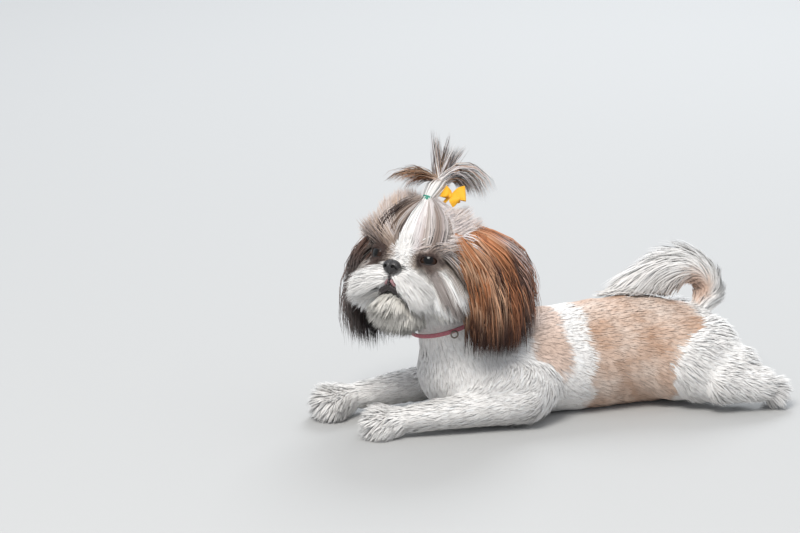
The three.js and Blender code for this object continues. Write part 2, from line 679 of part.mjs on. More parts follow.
place("torso", cut(trunk(), collarGap), "white");
place("neck", cut(neck(), trunkGap, skullGap), "white");
place("collar", cut(collar(), trunkGap, skullGap), "pink");
place("head", cut(join(skull(), lids(-1), lids(1), hair), ...eyeGaps, noseGap), "white", head);
place("nose", nose(), "black", head, 0.4);
place("muzzle", cut(muzzle(), skullGap, noseGap, ...eyeGaps), "white", head);
place("lower_jaw", cut(jaw(), skullGap, muzzleGap, neckGap, collarGap, trunkGap), "white", head);
place("topknot", cut(topknot(), skullGap, bandGap), "white", head);
place("topknot_band", bandRing(), "teal", head);
place("bow", bareBow, "yellow", head);
for (const [name, side] of Object.entries(SIDES)) {
  const forelegGap = foreleg(FORELEGS[name], GAP);
  const hindLegGap = hindLeg(HIND_LEGS[name], GAP);
  const earCuts = [skullGap, neckGap, collarGap, trunkGap, muzzleGap, jawGap, forelegGap];
  place(`eye_${name}`, eye(side), "eye", head, 0.1);
  place(`ear_${name}`, cut(ear(side), ...earCuts), "chestnut", level);
  place(`foreleg_${name}`, cut(foreleg(FORELEGS[name]), trunkGap, neckGap), "white");
  place(`forepaw_${name}`, cut(forepaw(FORELEGS[name]), forelegGap, ground), "white");
  place(`hind_leg_${name}`, cut(hindLeg(HIND_LEGS[name]), trunkGap), "white");
  place(`hind_paw_${name}`, cut(hindPaw(HIND_LEGS[name]), hindLegGap, trunkGap, ground), "white");
}
place("tail_root", cut(tailRoot(), trunkGap, tailPlume(GAP)), "white");
place("tail_plume", cut(tailPlume(), trunkGap), "white");

export default dog;
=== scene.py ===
import math

import bpy
import numpy as np
from mathutils import Matrix, Vector
from mathutils.bvhtree import BVHTree
from mathutils.kdtree import KDTree


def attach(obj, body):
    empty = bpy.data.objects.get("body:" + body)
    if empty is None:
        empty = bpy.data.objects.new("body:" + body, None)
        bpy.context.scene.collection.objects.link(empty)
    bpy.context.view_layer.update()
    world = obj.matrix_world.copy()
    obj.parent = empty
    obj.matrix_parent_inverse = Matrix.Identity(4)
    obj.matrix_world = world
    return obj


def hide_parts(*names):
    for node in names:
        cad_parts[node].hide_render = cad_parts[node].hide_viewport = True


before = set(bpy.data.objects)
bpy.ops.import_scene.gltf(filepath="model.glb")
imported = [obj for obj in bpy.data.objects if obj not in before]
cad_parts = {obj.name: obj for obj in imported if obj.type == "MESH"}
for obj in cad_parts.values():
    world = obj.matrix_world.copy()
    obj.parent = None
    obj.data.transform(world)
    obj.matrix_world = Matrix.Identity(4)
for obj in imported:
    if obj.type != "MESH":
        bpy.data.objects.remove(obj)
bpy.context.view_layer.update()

# Skin. The dog's body under its coat: one skin over chest, ribs, rump, neck, skull, short muzzle, hanging
# ear leathers, legs, paws and tail. It lies on its belly, head turned to its left and raised. Sizes are in
# millimetres and turns in degrees: -X is towards the nose, -Y is the dog's left, and the floor is z = 0.
MM = 0.001
HEAD_AT = (-142, -8, 160)
HEAD_TURN = 37
HEAD_RAISE = 24
MASS_SPACING = 0.4  # of the smaller radius, along a limb
SKIN_VOXEL = 2.4
SKIN_SMOOTHING = 7
BODY_SMOOTHING = 36
FLESH_BLEND = 6
FLOOR_GAP = 0.4


def spot(*numbers):
    return Vector(numbers) * MM


def moved(x, y, z):
    return Matrix.Translation(spot(x, y, z))


def stretched(x, y, z):
    return Matrix.Diagonal((*spot(x, y, z), 1))


def turned(x, y, z):
    x, y, z = math.radians(x), math.radians(y), math.radians(z)
    return Matrix.Rotation(z, 4, "Z") @ Matrix.Rotation(y, 4, "Y") @ Matrix.Rotation(x, 4, "X")


def select_only(*pieces):
    """Selects these pieces alone, the first of them active."""
    bpy.ops.object.select_all(action="DESELECT")
    for piece in pieces:
        piece.select_set(True)
    bpy.context.view_layer.objects.active = pieces[0]


def ball(pose, segments, rings):
    """A ball of radius 1 m, moved, turned and stretched by its pose."""
    bpy.ops.mesh.primitive_uv_sphere_add(segments=segments, ring_count=rings, radius=1)
    made = bpy.context.object
    made.matrix_world = pose
    return made


def place_in_mesh(piece):
    """Leaves the object at the origin, with its place in its mesh."""
    select_only(piece)
    bpy.ops.object.transform_apply(location=True, rotation=True, scale=True)


def joined(name, pieces):
    select_only(*pieces)
    bpy.ops.object.join()
    piece = bpy.context.object
    piece.name = name
    place_in_mesh(piece)
    return piece


def applied(piece, name, kind, **settings):
    """Adds a modifier with its settings and applies it."""
    modifier = piece.modifiers.new(name, kind)
    for key, value in settings.items():
        setattr(modifier, key, value)
    select_only(piece)
    bpy.ops.object.modifier_apply(modifier=name)


def carve(piece, tool):
    """Cuts a tool's shape out of a piece, and removes the tool."""
    applied(piece, "carve", "BOOLEAN", operation="DIFFERENCE", solver="EXACT", object=tool)
    bpy.data.objects.remove(tool)


DOG = Matrix.Identity(4)
HEAD = moved(*HEAD_AT) @ turned(0, HEAD_RAISE, HEAD_TURN)
LEVEL = moved(*HEAD_AT) @ turned(0, 0, HEAD_TURN)

flesh = []  # part, the way back into the mass's own frame, its radii, the way its coat lies, its object


def mass(part, place, radii, lie, within=DOG, turn=(0, 0, 0)):
    pose = within @ moved(*place) @ turned(*turn)
    made = ball(pose @ stretched(*radii), 28, 14)
    way = (within.to_3x3() @ Vector(lie)).normalized()
    flesh.append((part, pose.inverted(), Vector(radii) * MM, way, made))


def limb(part, joints, lie=None):
    """Masses along a row of joints, each x, y, z and radius."""
    for start, end in zip(joints, joints[1:]):
        a, b = Vector(start[:3]), Vector(end[:3])
        steps = max(2, math.ceil((b - a).length / (MASS_SPACING * min(start[3], end[3]))))
        for i in range(steps + 1):
            t = i / steps
            radius = start[3] * (1 - t) + end[3] * t
            mass(part, a.lerp(b, t), (radius,) * 3, lie or (b - a))


TRUNK = [
    ((-86, 0, 53), (57, 49, 53)),
    ((-62, 0, 53), (56, 52, 53)),
    ((-36, 0, 52), (56, 54, 54)),
    ((-8, 0, 52), (56, 55, 54)),
    ((20, 0, 52), (56, 55, 55)),
    ((48, 0, 53), (56, 54, 56)),
    ((76, 0, 54), (56, 53, 56)),
    ((104, 0, 53), (56, 53, 55)),
    ((136, 0, 49), (47, 51, 51)),
]
for place, radii in TRUNK:
    on_chest = place[0] < -80
    mass("torso", place, radii, (0.3, 0, -1) if on_chest else (0.95, 0, -0.32))
for side in (-1, 1):
    mass("torso", (-66, side * 38, 46), (50, 19, 40), (0.4, 0, -0.9))
    mass("torso", (128, side * 38, 50), (50, 24, 44), (0.9, 0, -0.4))
    mass("hind_leg", (156, side * 42, 52), (34, 28, 40), (0.8, 0, -0.6))
mass("hind_leg", (174, -64, 38), (30, 24, 30), (0.9, 0, -0.45))
mass("torso", (-106, -1, 86), (36, 38, 36), (0.3, 0, -1))
mass("torso", (158, 0, 72), (24, 28, 24), (0.7, 0, -0.7))
limb("neck", [(-92, 0, 84, 41), (-118, -4, 118, 36), (-134, -8, 150, 32)], lie=(0.45, 0, -1))

FORELEGS = {
    "left": {
        "arm": (-58, -54, 38),
        "elbow": (-50, -58, 28),
        "wrist": (-170, -48, 18),
        "toes": (-200, -42, 17),
    },
    "right": {
        "arm": (-66, 52, 40),
        "elbow": (-75, 54, 28),
        "wrist": (-190, 45, 20),
        "toes": (-226, 38, 20),
    },
}
for side, leg in FORELEGS.items():
    mass("foreleg", leg["arm"], (47, 18, 34), (-0.45, 0, -0.8))
    limb("foreleg", [(*leg["elbow"], 21), (*leg["wrist"], 13)])
    limb("forepaw", [(*leg["wrist"], 12), (*leg["toes"], 10)])
    x, y, z = leg["toes"]
    mass("forepaw", (x + 6, y, z - 5), (15, 14, z - 6), (-1, 0, -0.2))

HIND_LEGS = {
    "left": {
        "thigh": (148, -55, 46),
        "knee": (158, -72, 32),
        "hock": (196, -80, 28),
        "heel": (197, -81, 25),
        "toes": (211, -79, 20),
    },
    "right": {
        "thigh": (134, 51, 44),
        "knee": (112, 58, 30),
        "hock": (104, 62, 26),
        "heel": (172, 78, 18),
        "toes": (96, 86, 15),
    },
}
for side, leg in HIND_LEGS.items():
    back = 1 if side == "left" else -1
    mass("hind_leg", leg["thigh"], (41, 23, 38), (0.75 * back, 0, -0.6))
    limb("hind_leg", [(*leg["knee"], 21), (*leg["hock"], 18)], lie=(back, 0, -0.5))
    limb("hind_paw", [(*leg["heel"], 11), (*leg["toes"], 11)], lie=(back, 0, -0.15))

TAIL = [
    (168, 0, 92, 9),
    (179, 0, 110, 8),
    (172, 2, 127, 8),
    (152, 6, 136, 6),
    (122, 11, 134, 5),
    (97, 15, 122, 3),
]
limb("tail", TAIL)

SKULL = [
    ((-2, 0, 10), (46, 46, 44)),
    ((-18, -30, -12), (23, 21, 25)),
    ((-18, 30, -12), (23, 21, 25)),
    ((-33, 0, -10), (17, 22, 20)),
    ((-35, -27, 4), (14, 14, 14)),
    ((-35, 27, 4), (14, 14, 14)),
]
for place, radii in SKULL:
    mass("head", place, radii, (0, 0, 1), HEAD)
MUZZLE = [((-46, 0, -16), (11, 12, 11)), ((-47, -10, -22), (11, 13, 8)), ((-47, 10, -22), (11, 13, 8))]
for place, radii in MUZZLE:
    mass("muzzle", place, radii, (-0.2, 0, -1), HEAD)
for place, radii in [((-42, 0, -40), (12, 13, 6)), ((-26, 0, -44), (16, 20, 10))]:
    mass("jaw", place, radii, (-0.3, 0, -1), HEAD)
for side in (-1, 1):
    for place, radii, turn in [
        ((10, side * 48, 28), (17, 10, 17), (side * -40, 0, 0)),
        ((14, side * 64, 2), (19, 6, 27), (side * -12, 0, 0)),
        ((18, side * 68, -24), (15, 5, 19), (0, 0, 0)),
    ]:
        mass("ear", place, radii, (0, side * 0.3, -1), LEVEL, turn)

skin = joined("skin", [made for *_, made in flesh])
applied(skin, "flesh", "REMESH", mode="VOXEL", voxel_size=SKIN_VOXEL * MM)
applied(skin, "smooth", "SMOOTH", factor=0.5, iterations=SKIN_SMOOTHING)


def read(collection, field, kind, width):
    values = np.empty(len(collection) * width, kind)
    collection.foreach_get(field, values)
    return values.reshape(-1, width) if width > 1 else values


def unit(ways):
    return ways / np.maximum(np.linalg.norm(ways, axis=-1, keepdims=True), 1e-9)


def flesh_at(points):
    """The part that each point belongs to, and the way that the coat lies there."""
    depth = np.empty((len(flesh), len(points)), np.float32)
    for row, (_, back, radii, *_) in enumerate(flesh):
        local = points @ np.array(back.to_3x3()).T + np.array(back.translation)
        depth[row] = (np.linalg.norm(local / np.array(radii), axis=1) - 1) * min(radii)
    weight = np.exp(-(depth - depth.min(0)) / (FLESH_BLEND * MM))
    ways = np.array([row[3] for row in flesh])
    names = np.array([row[0] for row in flesh])
    return names[depth.argmin(0)], unit(weight.T @ ways)


named = flesh_at(read(skin.data.vertices, "co", np.float32, 3))[0]
body = np.isin(named, ["torso", "foreleg", "hind_leg"])
group = skin.vertex_groups.new(name="smooth flesh")
group.add(np.flatnonzero(body).tolist(), 1.0, "REPLACE")
applied(skin, "sleek", "SMOOTH", factor=0.5, iterations=BODY_SMOOTHING, vertex_group=group.name)
skin.vertex_groups.clear()
for vertex in skin.data.vertices:
    vertex.co.z = max(vertex.co.z, FLOOR_GAP * MM)

EYE_AT = (-36.5, 27, 4)
EYE_OUTWARD = 24
EYE_SLANT = 6
EYE_DOWN = -0.8
EYE_ALMOND = (9.4, 4.6)  # half its width and half its height


def eye_frame(side):
    """The frame at the middle of an eye, with its line of sight along -X."""
    return HEAD @ moved(EYE_AT[0], side * EYE_AT[1], EYE_AT[2]) @ turned(0, 0, -side * EYE_OUTWARD)


for side in (-1, 1):
    almond = eye_frame(side) @ moved(-12, 0, EYE_DOWN) @ turned(side * EYE_SLANT, 0, 0)
    carve(skin, ball(almond @ stretched(10, *EYE_ALMOND), 32, 16))
select_only(skin)
skin.data.shade_smooth()
bpy.ops.object.mode_set(mode="EDIT")
bpy.ops.mesh.select_all(action="SELECT")
bpy.ops.uv.smart_project(angle_limit=math.radians(66), island_margin=0.002)
bpy.ops.object.mode_set(mode="OBJECT")
skin.data.uv_layers[0].name = "OFBake"

mesh = skin.data
mesh.calc_loop_triangles()
skin_points = read(mesh.vertices, "co", np.float32, 3)
skin_normals = read(mesh.vertex_normals, "vector", np.float32, 3)
tri_points = read(mesh.loop_triangles, "vertices", np.int32, 3)
tri_loops = read(mesh.loop_triangles, "loops", np.int32, 3)
tri_area = read(mesh.loop_triangles, "area", np.float32, 1)
loop_uv = read(mesh.uv_layers["OFBake"].data, "uv", np.float32, 2)
skin_tree = BVHTree.FromPolygons(skin_points.tolist(), tri_points.tolist())
skin_part, skin_lie = flesh_at(skin_points)


def inside(frame_of, points):
    """Points of the dog's frame, in millimetres in another frame."""
    back = frame_of.inverted()
    return (points @ np.array(back.to_3x3()).T + np.array(back.translation)) / MM


def along(frame_of, ways):
    """Ways of another frame, in the dog's frame."""
    return np.asarray(ways, float) @ np.array(frame_of.to_3x3()).T


# Markings. The coat is white with a tan saddle and a paler tan patch on the shoulder. The head has a white
# blaze, grey streaks beside it, dark brown round the eyes and chestnut ears with near-black tips. Skin and
# coat share them.
def tone(red, green, blue):
    """A colour by its 0 to 255 numbers, as light."""
    part = np.array([red, green, blue]) / 255
    return np.where(part < 0.04045, part / 12.92, ((part + 0.055) / 1.055) ** 2.4)


WHITE = tone(246, 243, 240)
CREAM = tone(228, 206, 190)
TAN = tone(196, 157, 130)
PEACH = tone(224, 192, 172)
SILVER = tone(222, 212, 212)
STREAK = tone(96, 88, 86)
BROW = tone(158, 128, 104)
DARK = tone(60, 44, 40)
BLOND = tone(214, 184, 156)
CHESTNUT = tone(190, 124, 82)
RUST = tone(146, 92, 62)
TIP = tone(58, 34, 27)
BEARD = tone(228, 222, 208)


def step(low, high, value):
    t = np.clip((value - low) / (high - low), 0, 1)
    return t * t * (3 - 2 * t)


def ripple(points, size, seed):
    """A smooth random number, about -1 to 1, that changes over `size` of the points' own units."""
    draw = np.random.default_rng(seed)
    total = np.zeros(len(points))
    for _ in range(6):
        wave = unit(draw.normal(size=3)) * 2 * math.pi / (size * draw.uniform(0.7, 1.6))
        total += np.sin(points @ wave + draw.uniform(0, 2 * math.pi))
    return total / 2.6


def speckle(middle, swing, points, size, seed):
    """A smooth random share from 0 to 1."""
    return np.clip(middle + swing * ripple(points, size, seed), 0, 1)


def mixed(first, second, amount):
    return first * (1 - amount[:, None]) + second * amount[:, None]


def body_colour(points):
    p = points / MM
    x = p[:, 0] + 4 * ripple(p, 26, 1) + 1.5 * ripple(p, 8, 2)
    z = p[:, 2] + 4 * ripple(p, 26, 3)
    saddle_end = 112 + 38 * step(10, 70, z) - 26 * step(92, 118, z)
    saddle = step(14, 24, x) * (1 - step(saddle_end - 9, saddle_end + 7, x))
    tan = mixed(TAN, CREAM, 0.5 + 0.3 * ripple(p, 45, 4) + 0.2 * ripple(p, 12, 5))
    fading = 0.4 * step(100, 120, z) * step(60, 110, x)
    colour = mixed(np.tile(WHITE, (len(p), 1)), tan, saddle * (0.94 - fading))
    shoulder = step(-52, -38, x) * (1 - step(-10, -2, x)) * step(34, 62, z)
    return mixed(colour, mixed(PEACH, TAN, 0.3 + 0.3 * ripple(p, 30, 6)), 0.75 * shoulder)


def head_colour(points):
    """Colours of the face and skull, by places in the head's own frame with a ragged edge."""
    q = inside(HEAD, points)
    x = q[:, 0] + 1.5 * ripple(q, 14, 11)
    y = q[:, 1] + 1.4 * ripple(q, 13, 12)
    z = q[:, 2] + 1.6 * ripple(q, 13, 13)
    far = step(-2, 4, y)
    white = np.tile(WHITE, (len(q), 1))
    crown = mixed(white, np.tile(SILVER, (len(q), 1)), speckle(0.75, 0.3, q, 9, 16))
    far_brown = mixed(BROW, BLOND, speckle(0.5, 0.5, q, 8, 17))
    crown = mixed(crown, far_brown, far * speckle(0.45, 0.3, q, 10, 14))
    crown = mixed(crown, TAN, step(26, 44, -y) * step(-16, 6, x) * 0.75)
    crown = mixed(crown, BROW, step(12, 34, x) * 0.55)
    colour = mixed(white, crown, step(2, 12, z))
    width = np.abs(y)
    streaks = step(5, 7.5, width) * (1 - step(7.5 + 3.5 * far, 10.5 + 6 * far, width)) * step(6, 16, z)
    colour = mixed(colour, STREAK, streaks * (0.35 + 0.4 * far) * (1 - step(4, 26, x)))
    blaze = (1 - step(6, 8.5, width - 0.02 * z)) * (1 - step(2, 14, x))
    colour = mixed(colour, WHITE * 1.03, blaze)
    cheek = step(28, 42, width) * (1 - step(-2, 10, z)) * step(-26, -8, x)
    colour = mixed(colour, mixed(SILVER, BLOND, speckle(0.35, 0.4, q, 9, 15)), cheek * 0.6)
    colour = mixed(colour, BROW, step(44, 56, width) * (1 - step(-4, 12, z)) * step(-20, 0, x) * 0.6)
    for side in (-1, 1):
        eye = np.hypot((y - side * 28) / 1.3, (z - 4) / (1.25 if side > 0 else 0.85))
        colour = mixed(colour, BROW * 0.62, (1 - step(11, 18, eye)) * 0.75 * (x < 10))
        colour = mixed(colour, DARK, (1 - step(7, 13, eye)) * 0.95 * (x < 0))
        below = np.abs((side * y - 34) * 0.62 + (z + 9) * 0.78) + 40 * step(-3, 5, z)
        tear = (1 - step(3, 8, below)) * step(26, 32, side * y) * (1 - step(48, 58, side * y))
        colour = mixed(colour, tone(104, 88, 82), tear * 0.8)
    return mixed(colour, BEARD, step(30, 42, -z) * 0.8)


def coat_colour(points, parts):
    colour = body_colour(points)
    colour[parts == "neck"] = WHITE
    limbs = np.isin(parts, ["foreleg", "forepaw", "hind_leg", "hind_paw", "tail"])
    colour[limbs] = WHITE
    face = np.isin(parts, ["head", "muzzle", "jaw"])
    colour[face] = head_colour(points[face])
    leather = parts == "ear"
    side = inside(LEVEL, points[leather])[:, 1]
    # The far ear's leather is painted dark brown: partly its own colour, partly painted shade for the far
    # side of the head.
    colour[leather] = np.where((side < 0)[:, None], RUST, DARK)
    return colour


def paint(mesh, colours):
    """Keeps a colour for each vertex in the attribute named coat."""
    layer = mesh.attributes.new("coat", "FLOAT_COLOR", "POINT")
    values = np.column_stack([colours, np.ones(len(colours))])
    layer.data.foreach_set("color", values.astype(np.float32).ravel())


# The skin is painted a tenth darker than the coat over it: painted shade deep in the coat.
paint(skin.data, coat_colour(skin_points, skin_part) * 0.9)


def fill(tree, node, inputs):
    """Sets inputs of a node. One that is given a socket is linked to it, any other holds the value."""
    for key, value in inputs.items():
        if isinstance(value, bpy.types.NodeSocket):
            tree.links.new(value, node.inputs[key])
        else:
            node.inputs[key].default_value = value


def add_node(tree, kind, inputs=None, **settings):
    node = tree.nodes.new("ShaderNode" + kind)
    for key, value in settings.items():
        setattr(node, key, value)
    fill(tree, node, inputs or {})
    return node


def shade(material, inputs):
    """Sets inputs of the shader of a material."""
    fill(material.node_tree, material.node_tree.nodes["Principled BSDF"], inputs)


def finish(name, inputs):
    """A material with these inputs of its shader."""
    material = bpy.data.materials.new(name)
    material.use_nodes = True
    shade(material, inputs)
    return material


def grain_group():
    """Fine variation that the soft finishes share: a colour, mottled light and dark, and a bumped normal."""
    tree = bpy.data.node_groups.new("soft grain", "ShaderNodeTree")
    for name in ("Colour", "Scale", "Mottle", "Bump"):
        kind = "NodeSocketColor" if name == "Colour" else "NodeSocketFloat"
        tree.interface.new_socket(name=name, in_out="INPUT", socket_type=kind)
    tree.interface.new_socket(name="Colour", in_out="OUTPUT", socket_type="NodeSocketColor")
    tree.interface.new_socket(name="Normal", in_out="OUTPUT", socket_type="NodeSocketVector")
    given = tree.nodes.new("NodeGroupInput").outputs
    place = add_node(tree, "TexCoord").outputs["Object"]
    noise = add_node(tree, "TexNoise", {"Vector": place, "Scale": given["Scale"], "Detail": 3}).outputs["Fac"]
    darkest = add_node(tree, "Math", {0: 1.0, 1: given["Mottle"]}, operation="SUBTRACT").outputs[0]
    reach = {"From Min": 0.3, "From Max": 0.7, "To Min": darkest, "To Max": 1.0}
    light = add_node(tree, "MapRange", {"Value": noise, **reach}).outputs[0]
    mottled = add_node(tree, "VectorMath", {0: given["Colour"], "Scale": light}, operation="SCALE")
    bump = add_node(tree, "Bump", {"Distance": 0.0006, "Strength": given["Bump"], "Height": noise})
    results = {"Colour": mottled.outputs[0], "Normal": bump.outputs["Normal"]}
    fill(tree, tree.nodes.new("NodeGroupOutput"), results)
    return tree


SOFT_GRAIN = grain_group()


def grained(material, colour, scale, mottle, bump):
    """Puts the shared grain between a colour and the shader of a material."""
    if not isinstance(colour, bpy.types.NodeSocket):
        colour = (*colour, 1)
    inputs = {"Colour": colour, "Scale": scale, "Mottle": mottle, "Bump": bump}
    grain = add_node(material.node_tree, "Group", inputs, node_tree=SOFT_GRAIN).outputs
    shade(material, {"Base Color": grain["Colour"], "Normal": grain["Normal"]})
    return material


def coat_material(name, roughness, scale, mottle, bump, sheen=0.0):
    """A finish that takes its colours from the attribute named coat."""
    material = finish(name, {"Roughness": roughness, "Specular IOR Level": 0.25, "Sheen Weight": sheen})
    coat = add_node(material.node_tree, "Attribute", attribute_name="coat")
    return grained(material, coat.outputs["Color"], scale, mottle, bump)


skin.data.materials.append(coat_material("skin under the coat", 0.8, 700, 0.25, 0.7))
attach(skin, "root")
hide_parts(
    *("torso", "neck", "head", "muzzle", "lower_jaw", "ear_left", "ear_right", "tail_root", "tail_plume"),
    *(
        f"{leg}_{side}"
        for leg in ("foreleg", "forepaw", "hind_leg", "hind_paw")
        for side in ("left", "right")
    ),
)

# Body coat. The trunk and neck are clipped short and smooth. Each tuft is a thin blade of three edges that
# tapers to a tip. It grows from the skin and lies back and down along it.
PATCH_SIZE = 0.003  # of a tuft on the skin's unwrap
SHORT_RINGS = 2
ROOT_DEPTH = 1.5
HAIR = coat_material("coat hair", 0.62, 1500, 0.16, 0.0, 0.1)


def sow(chosen, count, seed):
    """Random roots over the skin, as many to an area as `chosen` says for each triangle."""
    draw = np.random.default_rng(seed)
    weight = tri_area * chosen
    chosen_from = draw.choice(len(weight), count, p=weight / weight.sum())
    a, b = draw.random((2, count))
    over = a + b > 1
    a, b = np.where(over, 1 - a, a), np.where(over, 1 - b, b)
    share = np.stack([1 - a - b, a, b], 1)[:, :, None]
    corners = tri_points[chosen_from]
    return {
        "at": (skin_points[corners] * share).sum(1),
        "out": unit((skin_normals[corners] * share).sum(1)),
        "lie": unit((skin_lie[corners] * share).sum(1)),
        "uv": (loop_uv[tri_loops[chosen_from]] * share).sum(1),
        "part": skin_part[corners[:, 0]],
        "draw": draw,
    }


def flat_on(ways, out):
    """The ways laid flat on the skin."""
    return unit(ways - out * (ways * out).sum(1, keepdims=True))


def clear_of_skin(points, height):
    """Points moved out to at least `height` over the skin, and above the floor."""
    clear = points.copy()
    for i, (point, least) in enumerate(zip(points, height)):
        near, normal, _, distance = skin_tree.find_nearest(Vector(point))
        over = (Vector(point) - near).dot(normal)
        if over < least and (distance < 0.03 or over < 0):
            clear[i] += np.array(normal) * (least - over)
    clear[:, 2] = np.maximum(clear[:, 2], 0.7 * MM)
    return clear


def comb(at, out, way, length, rings, fall, lift):
    """Paths of tufts that head along `way`, bend down by `fall` and stand higher over the skin by `lift`."""
    height = np.asarray(lift, float) * MM
    path = [at - out * ROOT_DEPTH * MM]
    here, way = at.copy(), unit(way)
    fall = np.broadcast_to(fall, (len(at),))[:, None]
    for k in range(1, rings + 1):
        way = unit(way + np.array([0, 0, -1]) * fall * 3 / rings)
        here = here + way * (length * MM / rings)[:, None]
        here = clear_of_skin(here, height[:, 0] + (height[:, 1] - height[:, 0]) * k / rings)
        path.append(here)
        way = unit(0.6 * way + 0.4 * unit(here - path[-2]))
    return np.stack(path, 1)


def clumped(paths, roots, pull, every, seed):
    """Draws the tips of neighbouring tufts together into locks."""
    draw = np.random.default_rng(seed)
    guides = draw.choice(len(paths), max(1, len(paths) // every), replace=False)
    tree = KDTree(len(guides))
    for i, guide in enumerate(guides):
        tree.insert(roots[guide], i)
    tree.balance()
    nearest = guides[[tree.find(root)[1] for root in roots]]
    amount = pull * np.linspace(0, 1, paths.shape[1])[None, :, None] ** 1.4
    return paths + (paths[nearest] - paths) * amount


def weave(name, paths, out, width, colours, uv, soft=0.75):
    """One mesh of tapered blades along the paths. Each has its own small patch on the skin's unwrap."""
    count, rings = len(paths), paths.shape[1] - 1
    t = np.arange(rings) / rings
    wide = np.interp(t, [0, 0.25, 0.6, 1], [0.7, 1, 0.8, 0.1])
    ahead = np.empty_like(paths)
    ahead[:, 1:-1] = paths[:, 2:] - paths[:, :-2]
    ahead[:, 0] = paths[:, 1] - paths[:, 0]
    ahead[:, -1] = paths[:, -1] - paths[:, -2]
    ahead = unit(ahead[:, :-1])
    across = unit(np.cross(ahead, out[:, None, :]))
    ridge = np.cross(across, ahead)
    half = (width * MM / 2)[:, None, None] * wide[None, :, None]
    middle = paths[:, :-1]
    around = np.stack([middle - across * half, middle + across * half, middle + ridge * half * 0.8], 2)
    points = np.concatenate([around.reshape(count, rings * 3, 3), paths[:, -1:]], 1)
    points[:, :, 2] = np.maximum(points[:, :, 2], 0.3 * MM)
    faces = [(0, 1, 2)]
    for k in range(rings):
        for j in range(3):
            a, b = 3 * k + j, 3 * k + (j + 1) % 3
            if k < rings - 1:
                faces += [(b, a, a + 3), (b, a + 3, b + 3)]
            else:
                faces.append((b, a, 3 * rings))
    faces = np.array(faces)
    each = rings * 3 + 1
    triangles = (faces[None] + np.arange(count)[:, None, None] * each).reshape(-1, 3)
    mesh = bpy.data.meshes.new(name)
    mesh.vertices.add(count * each)
    mesh.vertices.foreach_set("co", points.astype(np.float32).ravel())
    mesh.loops.add(len(triangles) * 3)
    mesh.loops.foreach_set("vertex_index", triangles.astype(np.int32).ravel())
    mesh.polygons.add(len(triangles))
    mesh.polygons.foreach_set("loop_start", np.arange(0, len(triangles) * 3, 3, dtype=np.int32))
    mesh.update(calc_edges=True)
    mesh.shade_smooth()
    turned_out = ridge * (1 - soft) + out[:, None] * soft
    side_on = across * 0.4 * (1 - soft)
    facing = np.stack([turned_out - side_on, turned_out + side_on, turned_out], 2)
    facing = np.concatenate([facing.reshape(count, rings * 3, 3), turned_out[:, -1:]], 1)
    facing = unit(facing).reshape(-1, 3)
    mesh.normals_split_custom_set_from_vertices(facing.astype(np.float32))
    ring_colours = np.repeat(colours[:, :-1], 3, axis=1)
    paint(mesh, np.concatenate([ring_colours, colours[:, -1:]], 1).reshape(-1, 3))
    corners = [((j - 1) / 2, k / rings - 0.5) for k in range(rings) for j in range(3)] + [(0, 0.5)]
    patch = np.array(corners) * PATCH_SIZE
    places = (uv[:, None] + patch[None]).reshape(-1, 2)
    layer = mesh.uv_layers.new(name="OFBake")
    layer.data.foreach_set("uv", places[triangles.ravel()].astype(np.float32).ravel())
    mesh.materials.append(HAIR)
    piece = bpy.data.objects.new(name, mesh)
    bpy.context.scene.collection.objects.link(piece)
    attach(piece, "root")
    return piece


def varied(colours, rings, draw, spread, tip_painted_light, root_painted_shade=0.95):
    """A colour for each ring of each tuft, and no two tufts alike. The last two factors scale it from root to
    tip: mostly the root is painted darker, as shade deep in the coat, and the tip lighter, as painted light
    on the ends of the hair. A tip factor under 1 darkens the tip instead.
    """
    t = np.linspace(0, 1, rings + 1)[None, :, None]
    shade = 1 + draw.normal(0, spread, (len(colours), 1, 1))
    return np.clip(colours[:, None, :] * shade * (root_painted_shade + (tip_painted_light - root_painted_shade) * t), 0.002, 0.95)


def standing(draw, count, root, tip):
    """Heights over the skin: the same at every root, drawn from a range at the tips."""
    return np.column_stack([np.full(count, root), draw.uniform(*tip, count)])


tri_middle = skin_points[tri_points].mean(1)
tri_part = skin_part[tri_points[:, 0]]
on_floor = tri_middle[:, 2] < 2.5 * MM


def short_coat(name, chosen, count, seed, length, width, rise, stray, pull):
    """Short hair that stands up by `rise` degrees at its root and lies down towards its tip."""
    roots = sow(chosen * ~on_floor, count, seed)
    draw, out = roots["draw"], roots["out"]
    flat = flat_on(roots["lie"] + stray * draw.normal(size=(count, 3)) * 0.6, out)
    wave = ripple(roots["at"] / MM, 9, seed + 1)[:, None] * np.cross(out, flat)
    flat = unit(flat + stray * wave)
    lengths = draw.uniform(*length, count)
    angle = np.radians(draw.uniform(*rise, count))
    path = [roots["at"] - out * 1.2 * MM]
    for k in range(SHORT_RINGS):
        lean = (angle * (1 - 0.55 * k / (SHORT_RINGS - 1)))[:, None]
        way = unit(flat * np.cos(lean) + out * np.sin(lean))
        there = path[-1] + way * (lengths * MM / SHORT_RINGS)[:, None]
        path.append(clear_of_skin(there, np.full(count, 0.6 * MM * (k + 1))))
    paths = clumped(np.stack(path, 1), roots["at"], pull, 7, seed + 2)
    paths[:, :, 2] = np.maximum(paths[:, :, 2], 0.6 * MM)
    colours = varied(coat_colour(roots["at"], roots["part"]), SHORT_RINGS, draw, 0.05, 1.03, 0.97)
    weave(name, paths, out, draw.uniform(*width, count), colours, roots["uv"], 0.88)


